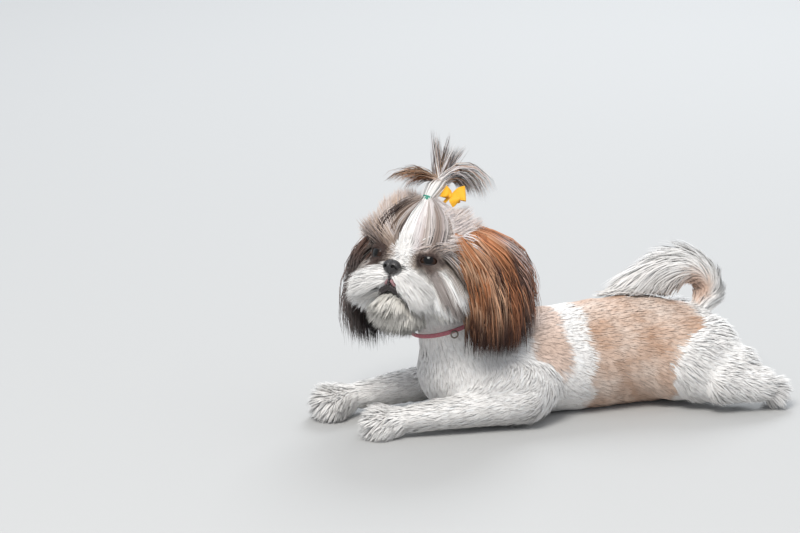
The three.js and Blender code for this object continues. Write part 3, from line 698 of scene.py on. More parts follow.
trunk = (tri_part == "torso").astype(float)
SLEEK = {"length": (9, 14), "width": (0.8, 1.5), "rise": (3, 12), "stray": 0.1, "pull": 0.2}
short_coat("coat_fore", trunk * (tri_middle[:, 0] < 20 * MM), 12500, 101, **SLEEK)
short_coat("coat_rear", trunk * (tri_middle[:, 0] >= 20 * MM), 12800, 102, **SLEEK)
COLLAR_AT, COLLAR_LEAN = (-120, -5, 105), -20
COLLAR_AXIS = turned(0, COLLAR_LEAN, 0).to_3x3() @ Vector((0, 0, 1))
over_collar = (tri_middle - np.array(spot(*COLLAR_AT))) @ np.array(COLLAR_AXIS)
neck = (tri_part == "neck") * ((over_collar < -4 * MM) | (over_collar > 15 * MM))
short_coat("coat_neck", neck.astype(float), 5000, 103, (10, 15), (0.8, 1.4), (8, 24), stray=0.15, pull=0.3)

# Legs and paws. The legs are white, short on the forearms and fuller on the thighs. The paws are tufted all
# round, with hair that fans out over the toes.
forelegs = (tri_part == "foreleg").astype(float)
hind_legs = (tri_part == "hind_leg").astype(float)
short_coat("coat_forelegs", forelegs, 8200, 111, (10, 17), (0.8, 1.5), (6, 24), stray=0.18, pull=0.3)
short_coat("coat_hind_legs", hind_legs, 9200, 112, (11, 19), (0.9, 1.6), (6, 24), stray=0.18, pull=0.3)


def paw_coat(name, part, ends, count, seed):
    chosen = (tri_part == part).astype(float)
    roots = sow(chosen * ~on_floor, count, seed)
    draw, out, at = roots["draw"], roots["out"], roots["at"]
    centres = np.array([spot(*end) for end in ends])
    gap = np.linalg.norm(at[:, None] - centres[None], axis=2)
    away = unit(at - centres[gap.argmin(1)]) * np.exp(-gap.min(1) / (22 * MM))[:, None]
    way = unit(roots["lie"] + away * 1.1 + draw.normal(0, 0.1, (count, 3)))
    way = unit(way + out * 0.2)
    length = draw.uniform(12, 19, count)
    lift = standing(draw, count, 0.8, (1.2, 5))
    paths = clumped(comb(at, out, way, length, 3, 0.16, lift), at, 0.42, 10, seed + 1)
    colours = varied(np.tile(WHITE, (count, 1)), 3, draw, 0.03, 1.03, 0.98)
    weave(name, paths, out, draw.uniform(0.8, 1.3, count), colours, roots["uv"], 0.6)


paw_coat("coat_forepaws", "forepaw", [leg["toes"] for leg in FORELEGS.values()], 3600, 121)
paw_coat("coat_hind_paws", "hind_paw", [leg["toes"] for leg in HIND_LEGS.values()], 3300, 122)

# Tail. The tail curls forward over the back. Its long white plume springs from all round it and follows the
# curl, or falls from its sides and underside to the back. The hair inside the curl is faintly peach.
tail_count = 4000
roots = sow((tri_part == "tail") * (1.0 + (tri_middle[:, 0] < 150 * MM)), tail_count, 131)
draw, out, at = roots["draw"], roots["out"], roots["at"]
under = step(-0.1, 0.8, -out[:, 2])
inner = step(-0.1, 0.6, -out[:, 0]) * step(152, 164, at[:, 0] / MM) * (1 - step(120, 132, at[:, 2] / MM))
reach = (0.35 + 0.65 * step(104, 140, at[:, 2] / MM)) * (1 - 0.6 * inner)
above = step(0.2, 0.9, out[:, 2])
ahead = 1 - step(158, 182, at[:, 0] / MM)
sideways = np.abs(out[:, 1])
spread = draw.uniform(0.15, 0.5, tail_count) * (1 - 0.4 * above) + 0.35 * under * ahead
way = roots["lie"] * (1 - 0.45 * under * ahead)[:, None] + out * spread[:, None]
way = unit(way + draw.normal(0, 0.08, (tail_count, 3)))
length = draw.uniform(44, 70, tail_count) * reach * (1 - 0.15 * under)
fall = draw.uniform(0.08, 0.26, tail_count) + (0.55 * under + 0.3 * sideways) * ahead
tail_skin = np.flatnonzero(skin_part == "tail")
tail_tree = KDTree(len(tail_skin))
for i, vertex in enumerate(tail_skin):
    tail_tree.insert(skin_points[vertex], i)
tail_tree.balance()
TAIL_RINGS = 5
lift = draw.uniform(1.5, 12, tail_count) * (1 - 0.4 * above)
follow = (0.45 - 0.35 * np.maximum(under, sideways) * ahead)[:, None]
here, path = at.copy(), [at - out * MM]
for k in range(1, TAIL_RINGS + 1):
    near = tail_skin[[tail_tree.find(point)[1] for point in here]]
    drop = np.array([0, 0, 1]) * (fall * k / TAIL_RINGS)[:, None]
    way = unit(way + follow * skin_lie[near] - drop)
    here = here + way * (length * MM / TAIL_RINGS)[:, None]
    here = clear_of_skin(here, (1 + lift * k / TAIL_RINGS) * MM)
    path.append(here)
paths = clumped(np.stack(path, 1), at, 0.45, 14, 132)
colours = mixed(np.tile(WHITE, (tail_count, 1)), PEACH, inner * 0.9)
colours = varied(colours, TAIL_RINGS, draw, 0.03, 1.02, 0.97)
weave("coat_tail", paths, out, draw.uniform(1.0, 1.8, tail_count), colours, roots["uv"], 0.68)

# Face and head coat. Short hair radiates from the bridge of the nose. The cheeks fall outward and down, the
# brow stands out at the sides, and the crown is drawn up to the band of the topknot. Sizes and places are
# in the head's own frame, its nose towards -X.
BAND_AT = (-22, 0, 69)
BAND_RADIUS = 4.6
NOSE_AT = (-60, 0, -10)
LIP_LINE = [(-48, -17, -37), (-54.5, -9, -32.5), (-58, 0, -28.5), (-54.5, 9, -32.5), (-48, 17, -37)]
tri_q = inside(HEAD, tri_middle)
face_like = np.isin(tri_part, ["head", "muzzle", "jaw"])


def gap_to(points, line):
    """The distance from each point to a line through the given points."""
    least = np.full(len(points), 1e9)
    for start, end in zip(np.array(line[:-1], float), np.array(line[1:], float)):
        t = np.clip((points - start) @ (end - start) / ((end - start) @ (end - start)), 0, 1)
        least = np.minimum(least, np.linalg.norm(points - start - t[:, None] * (end - start), axis=1))
    return least


nose_gap = np.linalg.norm((tri_q - np.array(NOSE_AT)) / np.array([1.2, 1.15, 1]), axis=1)
under_nose = (np.hypot(tri_q[:, 1] / 0.8, tri_q[:, 2] + 24) < 6) & (tri_q[:, 0] < -46)
bare = (nose_gap < 8.2) | (gap_to(tri_q, LIP_LINE) < 4.5) | under_nose


def eye_opening(q, grow):
    """Less than 1 inside the almond opening of either eye, seen along the eye's own line of sight."""
    most = np.full(len(q), 1e9)
    for side in (-1, 1):
        to_eye = q - np.array([EYE_AT[0], side * EYE_AT[1], EYE_AT[2]])
        turn = math.radians(EYE_OUTWARD)
        across = to_eye[:, 0] * side * math.sin(turn) + to_eye[:, 1] * math.cos(turn)
        ahead = -to_eye[:, 0] * math.cos(turn) + to_eye[:, 1] * side * math.sin(turn)
        almond = np.hypot(across / (EYE_ALMOND[0] + grow), (to_eye[:, 2] - EYE_DOWN) / (EYE_ALMOND[1] + grow))
        most = np.minimum(most, np.where(ahead > 0, almond, 1e9))
    return most


bare = bare | (eye_opening(tri_q, 1.2) < 1)


def face_ways(q, out):
    """The way that the hair of the face lies: out from the bridge of the nose, up on the brow, down below."""
    away = q - np.array([-58, 0, -4])
    away[:, 0] *= 0.4
    up = step(4, 20, q[:, 2])[:, None]
    to_band = np.array(BAND_AT) - q
    outward = q[:, 1] / (np.abs(q[:, 1]) + 8)
    down = np.column_stack([np.full(len(q), 0.15), outward, np.full(len(q), -0.6)])
    return flat_on(along(HEAD, unit(away) * 0.5 + unit(to_band) * up + unit(down) * (1 - up) * 0.9), out)


def face_roots(chosen, count, seed):
    """The draw, outward ways, roots, roots in the head's own frame, and places on the unwrap."""
    roots = sow(chosen, count, seed)
    return roots["draw"], roots["out"], roots["at"], inside(HEAD, roots["at"]), roots["uv"]


count = 8000
draw, out, at, q, uv = face_roots((face_like * ~bare) * (0.5 + 1.6 * (tri_q[:, 0] < -20)), count, 141)
way = face_ways(q, out) + draw.normal(0, 0.1, (count, 3))
way = unit(way + out * draw.uniform(0.05, 0.22, count)[:, None])
close = np.minimum(eye_opening(q, 2) * 9, np.linalg.norm(q - np.array([-50, 0, -4]), axis=1))
length = draw.uniform(7, 11, count) * (0.42 + 0.58 * step(10, 26, close))
lift = standing(draw, count, 0.6, (0.8, 2.4))
paths = clumped(comb(at, out, way, length, 2, 0.04, lift), at, 0.3, 7, 142)
colours = varied(head_colour(at), 2, draw, 0.08, 1.04)
weave("coat_face", paths, out, draw.uniform(0.7, 1.1, count), colours, uv)

# Cheeks, from the temples down to the jaw, in long locks over the short hair.
count = 4400
cheek = face_like * ~bare * (np.abs(tri_q[:, 1]) > 21) * (tri_q[:, 2] < 32)
cheek = cheek * (tri_q[:, 0] > -40) * (tri_q[:, 0] < 26) * (eye_opening(tri_q, 7) > 1)
draw, out, at, q, uv = face_roots(cheek.astype(float), count, 151)
side = np.sign(q[:, 1])
high = step(4, 28, q[:, 2])
way = along(HEAD, np.column_stack([
    0.22 + draw.normal(0, 0.1, count),
    side * (0.8 + 0.2 * high),
    -0.7 + 0.95 * high + draw.normal(0, 0.08, count),
]))
length = draw.uniform(26, 42, count) * (1 + 0.12 * (q[:, 1] > 0))
length = length * (0.55 + 0.45 * step(22, 36, np.abs(q[:, 1]))) * (0.6 + 0.4 * step(-34, -14, q[:, 2]))
lift = np.column_stack([draw.uniform(1, 4, count), draw.uniform(2, 14, count)])
paths = clumped(comb(at, out, way, length, 4, 0.24, lift), at, 0.4, 12, 152)
colours = varied(head_colour(at), 4, draw, 0.09, 1.08)
weave("coat_cheeks", paths, out, draw.uniform(0.9, 1.5, count), colours, uv)

# Crown, drawn in smooth curves from the forehead, temples and back of the skull to the band.
count = 4000
CROWN_RINGS = 5
crown = face_like * (tri_q[:, 2] > 12) * (eye_opening(tri_q, 5) > 1) * ~bare
crown = crown * (0.5 + 1.5 * (tri_q[:, 0] < 4))
draw, out, at, q, uv = face_roots(crown.astype(float), count, 161)
band_spot = np.array(HEAD @ spot(*BAND_AT))
toward = at - band_spot
head_up = along(HEAD, [0, 0, 1])
toward = unit(toward - head_up * (toward @ head_up)[:, None])
foot = band_spot + toward * (BAND_RADIUS * 0.75 * MM) * draw.uniform(0.3, 1, count)[:, None] + head_up * MM
gap = np.linalg.norm(foot - at, axis=1)[:, None]
loose = step(17, 36, np.abs(q[:, 1])) * (0.45 + 0.55 * (q[:, 1] > 0))
wide = np.maximum(step(9, 30, np.abs(q[:, 1])), step(-22, 8, q[:, 0]))
puff = (0.16 + 0.42 * wide + draw.normal(0, 0.05, count))[:, None]
bend = at + (foot - at) * 0.42 + (toward * 0.9 + head_up * 0.1) * gap * puff
end = foot + (unit(at - band_spot) + out) * (loose * draw.uniform(0, 9, count) * MM)[:, None]
stop = np.where(draw.random(count) < 0.12 + 0.5 * loose, draw.uniform(0.45, 0.9, count), 1.0)[:, None, None]
t = np.linspace(0, 1, CROWN_RINGS + 1)[None, :, None] * stop
start = at - out * 1.2 * MM
paths = start[:, None] * (1 - t) ** 2 + 2 * bend[:, None] * t * (1 - t) + end[:, None] * t**2
stand = (loose * draw.uniform(0, 9, count) * MM)[:, None, None] * t**2
paths = paths + stand * out[:, None]
paths = clumped(paths, at, 0.4, 14, 162)
colours = varied(head_colour(at), CROWN_RINGS, draw, 0.09, 1.05, 0.92)
weave("coat_crown", paths, out, draw.uniform(0.9, 1.5, count), colours, uv)

# Brow and temples: loose hair that stands out sideways and up, then curls back in a soft dome.
count = 4200
brow = face_like * (np.abs(tri_q[:, 1]) > 13) * (tri_q[:, 2] > 10) * (tri_q[:, 2] < 52) * (tri_q[:, 0] < 20)
brow = brow * (eye_opening(tri_q, 5) > 1) * (1 + 2 * (tri_q[:, 1] > 0))
draw, out, at, q, uv = face_roots(brow, count, 165)
side = np.sign(q[:, 1])
far = (q[:, 1] > 0).astype(float)
way = along(HEAD, np.column_stack([
    -0.1 - 0.25 * far + draw.normal(0, 0.16, count),
    side * (0.75 + 0.05 * far + draw.normal(0, 0.14, count)),
    0.5 + 0.3 * far + 0.35 * step(12, 34, q[:, 2]) + draw.normal(0, 0.16, count),
]))
back_up = 0.5 * step(20, 44, q[:, 2]) - 0.25 + 0.2 * far
back = along(HEAD, np.column_stack([np.full(count, 0.5), side * 0.1, back_up]))
length = draw.uniform(20, 36, count) * (0.85 + 0.3 * far)
BROW_RINGS = 4
here, path = at.copy(), [at - out * MM]
for k in range(1, BROW_RINGS + 1):
    way = unit(way + back * (0.16 * k))
    here = here + way * (length * MM / BROW_RINGS)[:, None]
    here = clear_of_skin(here, np.full(count, (0.8 + 1.2 * k) * MM))
    path.append(here)
paths = clumped(np.stack(path, 1), at, 0.4, 10, 166)
pale = np.linspace(0, 0.55, BROW_RINGS + 1)[None, :, None]
colours = varied(head_colour(at), BROW_RINGS, draw, 0.1, 1.05, 0.95)
colours = colours * (1 - pale) + mixed(BLOND, SILVER, draw.random(count))[:, None] * pale
weave("coat_brow", paths, out, draw.uniform(0.6, 1.1, count), colours, uv, 0.6)

# Moustache: white, parted under the nose, out to both sides and down.
count = 4800
lip = (tri_part == "muzzle") * ~bare * (tri_q[:, 2] < -6) * (gap_to(tri_q, LIP_LINE) > 5.5)
draw, out, at, q, uv = face_roots(lip.astype(float), count, 171)
side = np.where(np.abs(q[:, 1]) < 1.5, draw.choice([-1, 1], count), np.sign(q[:, 1]))
height = step(-30, -8, q[:, 2])
way = along(HEAD, np.column_stack([
    -0.3 + 0.025 * np.abs(q[:, 1]) + draw.normal(0, 0.09, count),
    side * (0.95 + draw.normal(0, 0.08, count)),
    (-0.75 + 0.6 * height) * np.where(side > 0, 0.5, 1) + draw.normal(0, 0.1, count),
]))
length = draw.uniform(22, 36, count) * np.where(side > 0, 1.25, 1)
length = length * (0.45 + 0.55 * step(3, 14, np.abs(q[:, 1])))
lift = standing(draw, count, 0.8, (1, 12))
fall = np.where(side > 0, 0.07, 0.16)
paths = clumped(comb(at, out, way, length, 4, fall, lift), at, 0.42, 11, 172)
colours = varied(np.tile(WHITE, (count, 1)), 4, draw, 0.03, 1.03, 0.97)
weave("coat_moustache", paths, out, draw.uniform(0.7, 1.2, count), colours, uv)

# Beard: the chin and lower jaw, faintly yellow.
count = 3900
draw, out, at, q, uv = face_roots((tri_part == "jaw") * ~bare * 1.0, count, 181)
way = along(HEAD, np.column_stack([-0.15 + 0.01 * q[:, 0], 0.035 * q[:, 1], np.full(count, -0.8)]))
way = way + draw.normal(0, 0.07, (count, 3)) + out * 0.2
length = draw.uniform(15, 25, count)
lift = standing(draw, count, 0.8, (1, 5))
paths = clumped(comb(at, out, way, length, 3, 0.12, lift), at, 0.3, 9, 182)
colours = varied(mixed(np.tile(WHITE, (count, 1)), BEARD, np.full(count, 0.5)), 3, draw, 0.03, 1.02, 0.97)
weave("coat_beard", paths, out, draw.uniform(0.8, 1.3, count), colours, uv)

# Ears. Long silky hair hangs from each ear leather in overlapping layers. The near ear is chestnut with
# blond in front and silver behind. The other is a darker brown, partly its own colour and partly painted
# shade for the ear in shadow on the far side of the head. Both end near black.
EAR_LAYERS = np.array([
    [34, 47, 58, 66],
    [42, 40, 58, 84],
    [62, 18, 44, 98],
    [68, -10, 28, 76],
])  # how far out and up a root is, how far out its hair swings, and how far down it falls
EAR_FULLNESS = {-1: 1.16, 1: 0.84}
EAR_LENGTH = {-1: 1.0, 1: 1.1}


def ear_colours(u, s, side, rings, draw):
    t = np.linspace(0, 1, rings + 1)[None, :]
    place = np.column_stack([u * 42, s * 24, u * 0])
    patch, fine = ripple(place, 22, 300 + side), ripple(place, 7, 310 + side)
    pale = np.clip(0.5 + 0.3 * patch + 0.25 * fine + draw.normal(0, 0.16, len(u)), 0, 1)
    body = mixed(np.tile(RUST, (len(u), 1)), CHESTNUT, step(0.1, 0.5, pale))
    body = mixed(body, TAN, step(0.6, 1.0, pale) * 0.8)
    front = step(0.15, 0.75, -u + 0.15 * fine)
    body = mixed(body, mixed(CHESTNUT * 0.9, BLOND * 1.1, np.clip(0.6 + 0.7 * fine, 0, 1)), front * 0.7)
    colour = np.repeat(body[:, None, :], rings + 1, 1)
    rear = step(0.3, 0.7, u) * step(0.0, 0.7, fine + 0.3 * patch)
    silver = (rear[:, None] * step(0.15, 0.4, t) * (1 - step(0.6, 0.85, t)))[:, :, None] * 0.75
    colour = colour * (1 - silver) + SILVER * silver
    # The far ear's hair is a darker brown than the near ear's: partly its own colour, partly painted shade
    # for the ear in shadow on the far side of the head.
    if side > 0:
        colour = np.tile(tone(116, 78, 60), (len(u), rings + 1, 1)) * (1.15 - 0.3 * t[:, :, None])
    dark = step(0.42, 0.78, t + 0.14 * patch[:, None] + 0.08 * draw.normal(size=(len(u), 1)))
    tips = TIP * (1.5 if side > 0 else 1.0)
    colour = colour * (1 - dark[:, :, None]) + tips * dark[:, :, None]
    return np.clip(colour * (1 + draw.normal(0, 0.13, (len(u), 1, 1))), 0.002, 0.95)


def ear_coat(name, side, count, seed, rings=5):
    leather = (tri_part == "ear") * (inside(LEVEL, tri_middle)[:, 1] * side > 0)
    roots = sow(leather.astype(float), count, seed)
    draw = roots["draw"]
    s = draw.random(count)
    u = draw.uniform(-1, 1, count)
    root_out, root_up, swing, drop = [np.interp(s * 3, range(4), EAR_LAYERS[:, k]) for k in range(4)]
    longer = EAR_LENGTH[side] * (draw.uniform(0.8, 1.08, count) - 0.18 * u * u)
    sway = draw.normal(0, 2.5, count)
    inward = draw.random(count) * 34 + 5 * u * u
    t = np.linspace(0, 1, rings + 1)[None, :]
    spread = (12 + 8 * t - 3 * side * t) + (20 + 35 * t * (1.5 - 0.68 * t)) * u[:, None] + sway[:, None] * t
    wave = ripple(np.column_stack([u * 42, s * 24, u * 0]), 16, seed + 2)[:, None]
    spread = spread + 3.2 * t * np.sin(2 * math.pi * (1.25 * t + 0.5 * wave))
    outs = root_out[:, None] + swing[:, None] * EAR_FULLNESS[side] * (1 - (1 - t) ** 2.2) - 14 * t * t
    outs = outs + 6 * t - inward[:, None] * step(0, 0.35, t)
    up = root_up[:, None] - drop[:, None] * longer[:, None] * t**1.25
    local = np.stack([spread, side * outs, up], 2).reshape(-1, 3) * MM
    paths = (local @ np.array(LEVEL.to_3x3()).T + np.array(LEVEL.translation)).reshape(count, rings + 1, 3)
    hanging = paths[:, 1:].reshape(-1, 3)
    paths[:, 1:] = clear_of_skin(hanging, np.full(len(hanging), 1.2 * MM)).reshape(count, rings, 3)
    paths = clumped(paths, paths[:, 0].copy(), 0.42, 16, seed + 1)
    out = unit(along(LEVEL, np.column_stack([0.4 * u, np.full(count, side), np.full(count, 0.25)])))
    colours = ear_colours(u, s, side, rings, draw)
    weave(name, paths, out, draw.uniform(1.0, 1.8, count), colours, roots["uv"], 0.25)


ear_coat("coat_ear_left", -1, 4100, 191)
ear_coat("coat_ear_right", 1, 3200, 192)

# Eyes. Large, round, dark brown and wet, at the front of the skull and turned a little outward. Each has a
# slight bulge over the iris, and lids with a dark rim that leave an almond opening.
EYE_RADIUS = 11.2
EYE_BULGE = 0.06
LID_GAP = 0.1
LID_THICKNESS = 0.8
LID_DOWN, LID_UP = -21, 14  # the edges of the opening, in degrees from the line of sight
LID_SIDE = 0.76
IRIS = [
    (0.55, (0.10, 0.07, 0.06)),
    (0.66, (0.006, 0.004, 0.003)),
    (0.80, (0.030, 0.012, 0.006)),
    (0.90, (0.018, 0.008, 0.004)),
    (0.935, (0.002, 0.002, 0.002)),
]  # the cosine of the angle from the line of sight, and the colour there


def polished(name, colour, roughness, coat):
    looks = {"Roughness": roughness, "Coat Weight": coat, "Coat Roughness": 0.03}
    return grained(finish(name, looks), colour, 900, 0.2, 0.02)


def eye_material(centre, gaze):
    """Dark brown iris round a black pupil, by the angle from the eye's own line of sight."""
    looks = {"Roughness": 0.12, "Specular IOR Level": 0.2, "Coat Weight": 0.12, "Coat Roughness": 0.02}
    material = finish("eye", looks)
    tree = material.node_tree
    place = add_node(tree, "TexCoord").outputs["Object"]
    offset = add_node(tree, "VectorMath", {0: place, 1: centre}, operation="SUBTRACT").outputs[0]
    outward = add_node(tree, "VectorMath", {0: offset}, operation="NORMALIZE").outputs[0]
    facing = add_node(tree, "VectorMath", {0: outward, 1: gaze}, operation="DOT_PRODUCT")
    ramp = add_node(tree, "ValToRGB", {"Fac": facing.outputs["Value"]})
    while len(ramp.color_ramp.elements) < len(IRIS):
        ramp.color_ramp.elements.new(0.5)
    for element, (cosine, colour) in zip(ramp.color_ramp.elements, IRIS):
        element.position = cosine
        element.color = (*colour, 1)
    shade(material, {"Base Color": ramp.outputs["Color"]})
    return material


LID_SKIN = polished("rim of the lids", tone(30, 22, 22), 0.6, 0.0)
for name, side in (("left", -1), ("right", 1)):
    socket = eye_frame(side)
    bpy.ops.mesh.primitive_uv_sphere_add(segments=48, ring_count=32, radius=EYE_RADIUS * MM)
    eye = bpy.context.object
    eye.name = f"eyeball_{name}"
    for vertex in eye.data.vertices:
        facing = -vertex.co.x / (EYE_RADIUS * MM)
        vertex.co *= 1 + EYE_BULGE * float(step(0.76, 0.95, np.float64(facing)))
    eye.matrix_world = socket
    place_in_mesh(eye)
    eye.data.shade_smooth()
    gaze = (socket.to_3x3() @ Vector((-1, 0, 0))).normalized()
    eye.data.materials.append(eye_material(socket.translation, gaze))
    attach(eye, "root")
    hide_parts(f"eye_{name}")

    bpy.ops.mesh.primitive_uv_sphere_add(
        segments=72, ring_count=28, radius=(EYE_RADIUS + LID_GAP) * MM, rotation=(math.pi / 2, 0, 0)
    )
    lid = bpy.context.object
    lid.name = f"lids_{name}"
    place_in_mesh(lid)
    bpy.ops.object.mode_set(mode="EDIT")
    bpy.ops.mesh.select_all(action="DESELECT")
    bpy.ops.object.mode_set(mode="OBJECT")
    for face in lid.data.polygons:
        x, y, z = face.center
        height = math.degrees(math.atan2(z, -x))
        open_here = LID_DOWN < height < LID_UP and abs(y) / (EYE_RADIUS * MM) < LID_SIDE
        face.select = open_here or x > 0
    bpy.ops.object.mode_set(mode="EDIT")
    bpy.ops.mesh.delete(type="FACE")
    bpy.ops.object.mode_set(mode="OBJECT")
    applied(lid, "thickness", "SOLIDIFY", thickness=LID_THICKNESS * MM, offset=1)
    applied(lid, "round", "SUBSURF", levels=1, render_levels=1)
    lid.matrix_world = socket @ turned(side * EYE_SLANT, 0, 0)
    place_in_mesh(lid)
    lid.data.shade_smooth()
    lid.data.materials.append(LID_SKIN)
    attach(lid, "root")

# Nose and mouth. Black, moist nose leather with comma-shaped nostrils and a groove down its middle, then
# the dark edge of the lips with a touch of pink under the nose.
NOSE_RADII = (7, 10, 7.6)
NOSE_GROOVE = 1.2
nose = ball(stretched(*NOSE_RADII), 48, 32)
nose.name = "nose_leather"
place_in_mesh(nose)
for vertex in nose.data.vertices:
    x, y, z = vertex.co / MM
    y *= 1 + 0.06 * z / NOSE_RADII[2] - 0.12 * max(-z, 0) / NOSE_RADII[2]
    x += NOSE_GROOVE * math.exp(-(y / 1.1) ** 2) * (x < 0)
    vertex.co = spot(x, y, z)
for side in (-1, 1):
    nostril = moved(-6, side * 4.3, -0.6) @ turned(side * 18, 0, 0) @ stretched(4.2, 2.2, 1.7)
    comma = moved(-4.4, side * 7.4, -1.6) @ turned(side * -24, 0, side * -30) @ stretched(3.6, 3.0, 0.9)
    for cut in (nostril, comma):
        tool = ball(cut, 24, 12)
        place_in_mesh(tool)
        carve(nose, tool)
applied(nose, "even", "REMESH", mode="VOXEL", voxel_size=0.45 * MM)
applied(nose, "soft", "SMOOTH", factor=0.5, iterations=3)
nose.matrix_world = HEAD @ moved(*NOSE_AT)
place_in_mesh(nose)
nose.data.shade_smooth()
material = finish("nose leather", {"Roughness": 0.34, "Coat Weight": 0.2, "Coat Roughness": 0.15})
tree = material.node_tree
place = add_node(tree, "TexCoord").outputs["Object"]
cells = add_node(tree, "TexVoronoi", {"Vector": place, "Scale": 1300}).outputs["Distance"]
bump = add_node(tree, "Bump", {"Strength": 0.5, "Distance": 0.0004, "Height": cells})
shades = add_node(tree, "ValToRGB", {"Fac": cells})
shades.color_ramp.elements[0].color = (0.009, 0.008, 0.009, 1)
shades.color_ramp.elements[1].color = (0.028, 0.025, 0.026, 1)
shade(material, {"Base Color": shades.outputs["Color"], "Normal": bump.outputs["Normal"]})
nose.data.materials.append(material)
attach(nose, "root")
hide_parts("nose")


def fleshy(name, lines, material):
    """Soft ridges of flesh along lines of x, y, z and radius in the head's own frame."""
    made = []
    for line in lines:
        for start, end in zip(line, line[1:]):
            for i in range(5):
                t = i / 4
                x, y, z, radius = (a * (1 - t) + b * t for a, b in zip(start, end))
                bpy.ops.mesh.primitive_uv_sphere_add(segments=16, ring_count=8, radius=radius * MM)
                bpy.context.object.location = spot(x, y, z)
                made.append(bpy.context.object)
    piece = joined(name, made)
    applied(piece, "even", "REMESH", mode="VOXEL", voxel_size=0.5 * MM)
    applied(piece, "soft", "SMOOTH", factor=0.5, iterations=5)
    piece.matrix_world = HEAD
    place_in_mesh(piece)
    piece.data.shade_smooth()
    piece.data.materials.append(material)
    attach(piece, "root")


LIP_SKIN = polished("dark edge of the lips", tone(38, 30, 32), 0.45, 0.2)
PINK_LIP = polished("pink of the lips", tone(158, 120, 124), 0.55, 0.1)
UPPER_LIP = [(*point, 1.3 + 0.6 * (abs(point[1]) < 12)) for point in LIP_LINE]
LOWER_LIP = [(x + 1.8, y * 0.9, z - 3.0, 1.1 + 0.3 * (abs(y) < 12)) for x, y, z in LIP_LINE]
PHILTRUM = [(-60.5, 0, -17, 1.5), (-59.5, 0, -28, 1.7)]
PINK_PATCHES = [
    [(-56.2, -5.6, -27.2, 1.8), (-58.0, -2.2, -24, 2.0)],
    [(-58.0, 2.2, -24, 1.8), (-56.2, 4.6, -26.6, 1.7)],
]
fleshy("lips", [UPPER_LIP, LOWER_LIP, PHILTRUM], LIP_SKIN)
fleshy("lip_pink", PINK_PATCHES, PINK_LIP)

# Topknot. The hair of the crown passes through a small elastic band, stands as a short stem and sprays open
# above it: white and tan locks, some upright, some falling forward, more drooping behind. A bow is tied to
# its side.
STEM = [(-22.5, 0, 64), (-22, 0, 69), (-20, -1, 75), (-17, -2, 82), (-14, -3, 88)]
STEM_RADIUS = (4.6, 3.4, 4.6, 5.6, 5.0)
SPRAY = [
    (6, (15, 95), 20, 50, 0.3, (TAN, BROW, CHESTNUT)),
    (8, (-160, 160), 76, 44, 0.04, (SILVER, BROW, WHITE)),
    (9, (-175, -70), 44, 64, 0.58, (WHITE, SILVER, TAN)),
    (6, (120, 205), 40, 50, 0.36, (TAN, SILVER, BROW)),
]  # each tier's locks, the turns they spread between, their rise, length, fall and colours
draw = np.random.default_rng(201)
strand_paths, strand_out, strand_colours = [], [], []
STRANDS = 44
SPRAY_RINGS = 5
stem = np.array([HEAD @ spot(*joint) for joint in STEM])
stem_radius = np.array(STEM_RADIUS) * MM
side_way, front_way = along(HEAD, [0, 1, 0]), along(HEAD, [1, 0, 0])
for locks, (first, last), rise, lock_length, fall, shades in SPRAY:
    for i in range(locks):
        turn = math.radians(first + (last - first) * i / (locks - 1) + draw.uniform(-8, 8))
        lean = math.radians(rise + draw.uniform(-12, 12))
        aim = (-math.cos(turn) * math.cos(lean), math.sin(turn) * math.cos(lean), math.sin(lean))
        aim = along(HEAD, aim)
        length = lock_length * draw.uniform(0.8, 1.15) * MM
        way = aim
        middle = [stem[-1] + way * 2 * MM]
        for k in range(SPRAY_RINGS):
            middle.append(middle[-1] + way * length / SPRAY_RINGS)
            way = unit(way - np.array([0, 0, fall * 0.42 * (k + 1)]))
        for _ in range(STRANDS):
            around = draw.normal(0, 0.5, 2)
            offset = side_way * around[0] + front_way * around[1]
            bend = unit(draw.normal(size=3)) * draw.uniform(0.2, 1)
            path = [p + offset * r + aim * r * 0.3 for p, r in zip(stem, stem_radius)]
            grow = draw.uniform(0.6, 1.08)
            for k in range(1, SPRAY_RINGS + 1):
                t = k / SPRAY_RINGS
                target = middle[0] + (middle[k] - middle[0]) * grow
                spread = bend * 6.5 * MM * t * (1.3 - t) + offset * stem_radius[-1] * (1 - 0.7 * t)
                path.append(target + spread + bend * 1.5 * MM * t)
            strand_paths.append(path)
            strand_out.append(unit(offset + head_up * 0.2 + draw.normal(0, 0.3, 3)))
            strand_colours.append(shades[int(draw.random() ** 1.6 * 3)] * draw.uniform(0.85, 1.1))
strand_paths = np.array(strand_paths)
strand_out = np.array(strand_out)
count = len(strand_paths)
rings = strand_paths.shape[1] - 1
uv = sow(crown * (np.abs(tri_q[:, 1]) < 18) * (tri_q[:, 2] > 40), count, 202)["uv"]
colours = varied(np.array(strand_colours), rings, draw, 0.08, 0.92, 1.0)
t = np.linspace(0, 1, rings + 1)[None, :, None]
white_foot = 1 - step(0.3, 0.6, t)
colours = colours * (1 - white_foot) + WHITE * white_foot * 0.96
width = draw.uniform(0.7, 1.2, count)
topknot = weave("coat_topknot", strand_paths, strand_out, width, colours, uv, 0.3)
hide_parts("topknot")

# The elastic band: three turns of thin teal elastic wound round the foot of the topknot.
BAND_THICKNESS = 0.95
turns = []
for height, radius, lean in [(-2.2, 4.6, 5), (-0.5, 4.9, -6), (1.2, 4.7, 4)]:
    bpy.ops.mesh.primitive_torus_add(
        major_segments=64, minor_segments=12, major_radius=radius * MM, minor_radius=BAND_THICKNESS * MM
    )
    wound = bpy.context.object
    wound.matrix_world = HEAD @ moved(*BAND_AT[:2], BAND_AT[2] + height) @ turned(lean, lean * 0.6, 0)
    turns.append(wound)
band = joined("elastic_band", turns)
band.data.shade_smooth()
material = grained(finish("teal elastic", {"Roughness": 0.5}), tone(62, 160, 138), 1800, 0.3, 0.5)
band.data.materials.append(material)
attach(band, "root")
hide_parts("topknot_band")

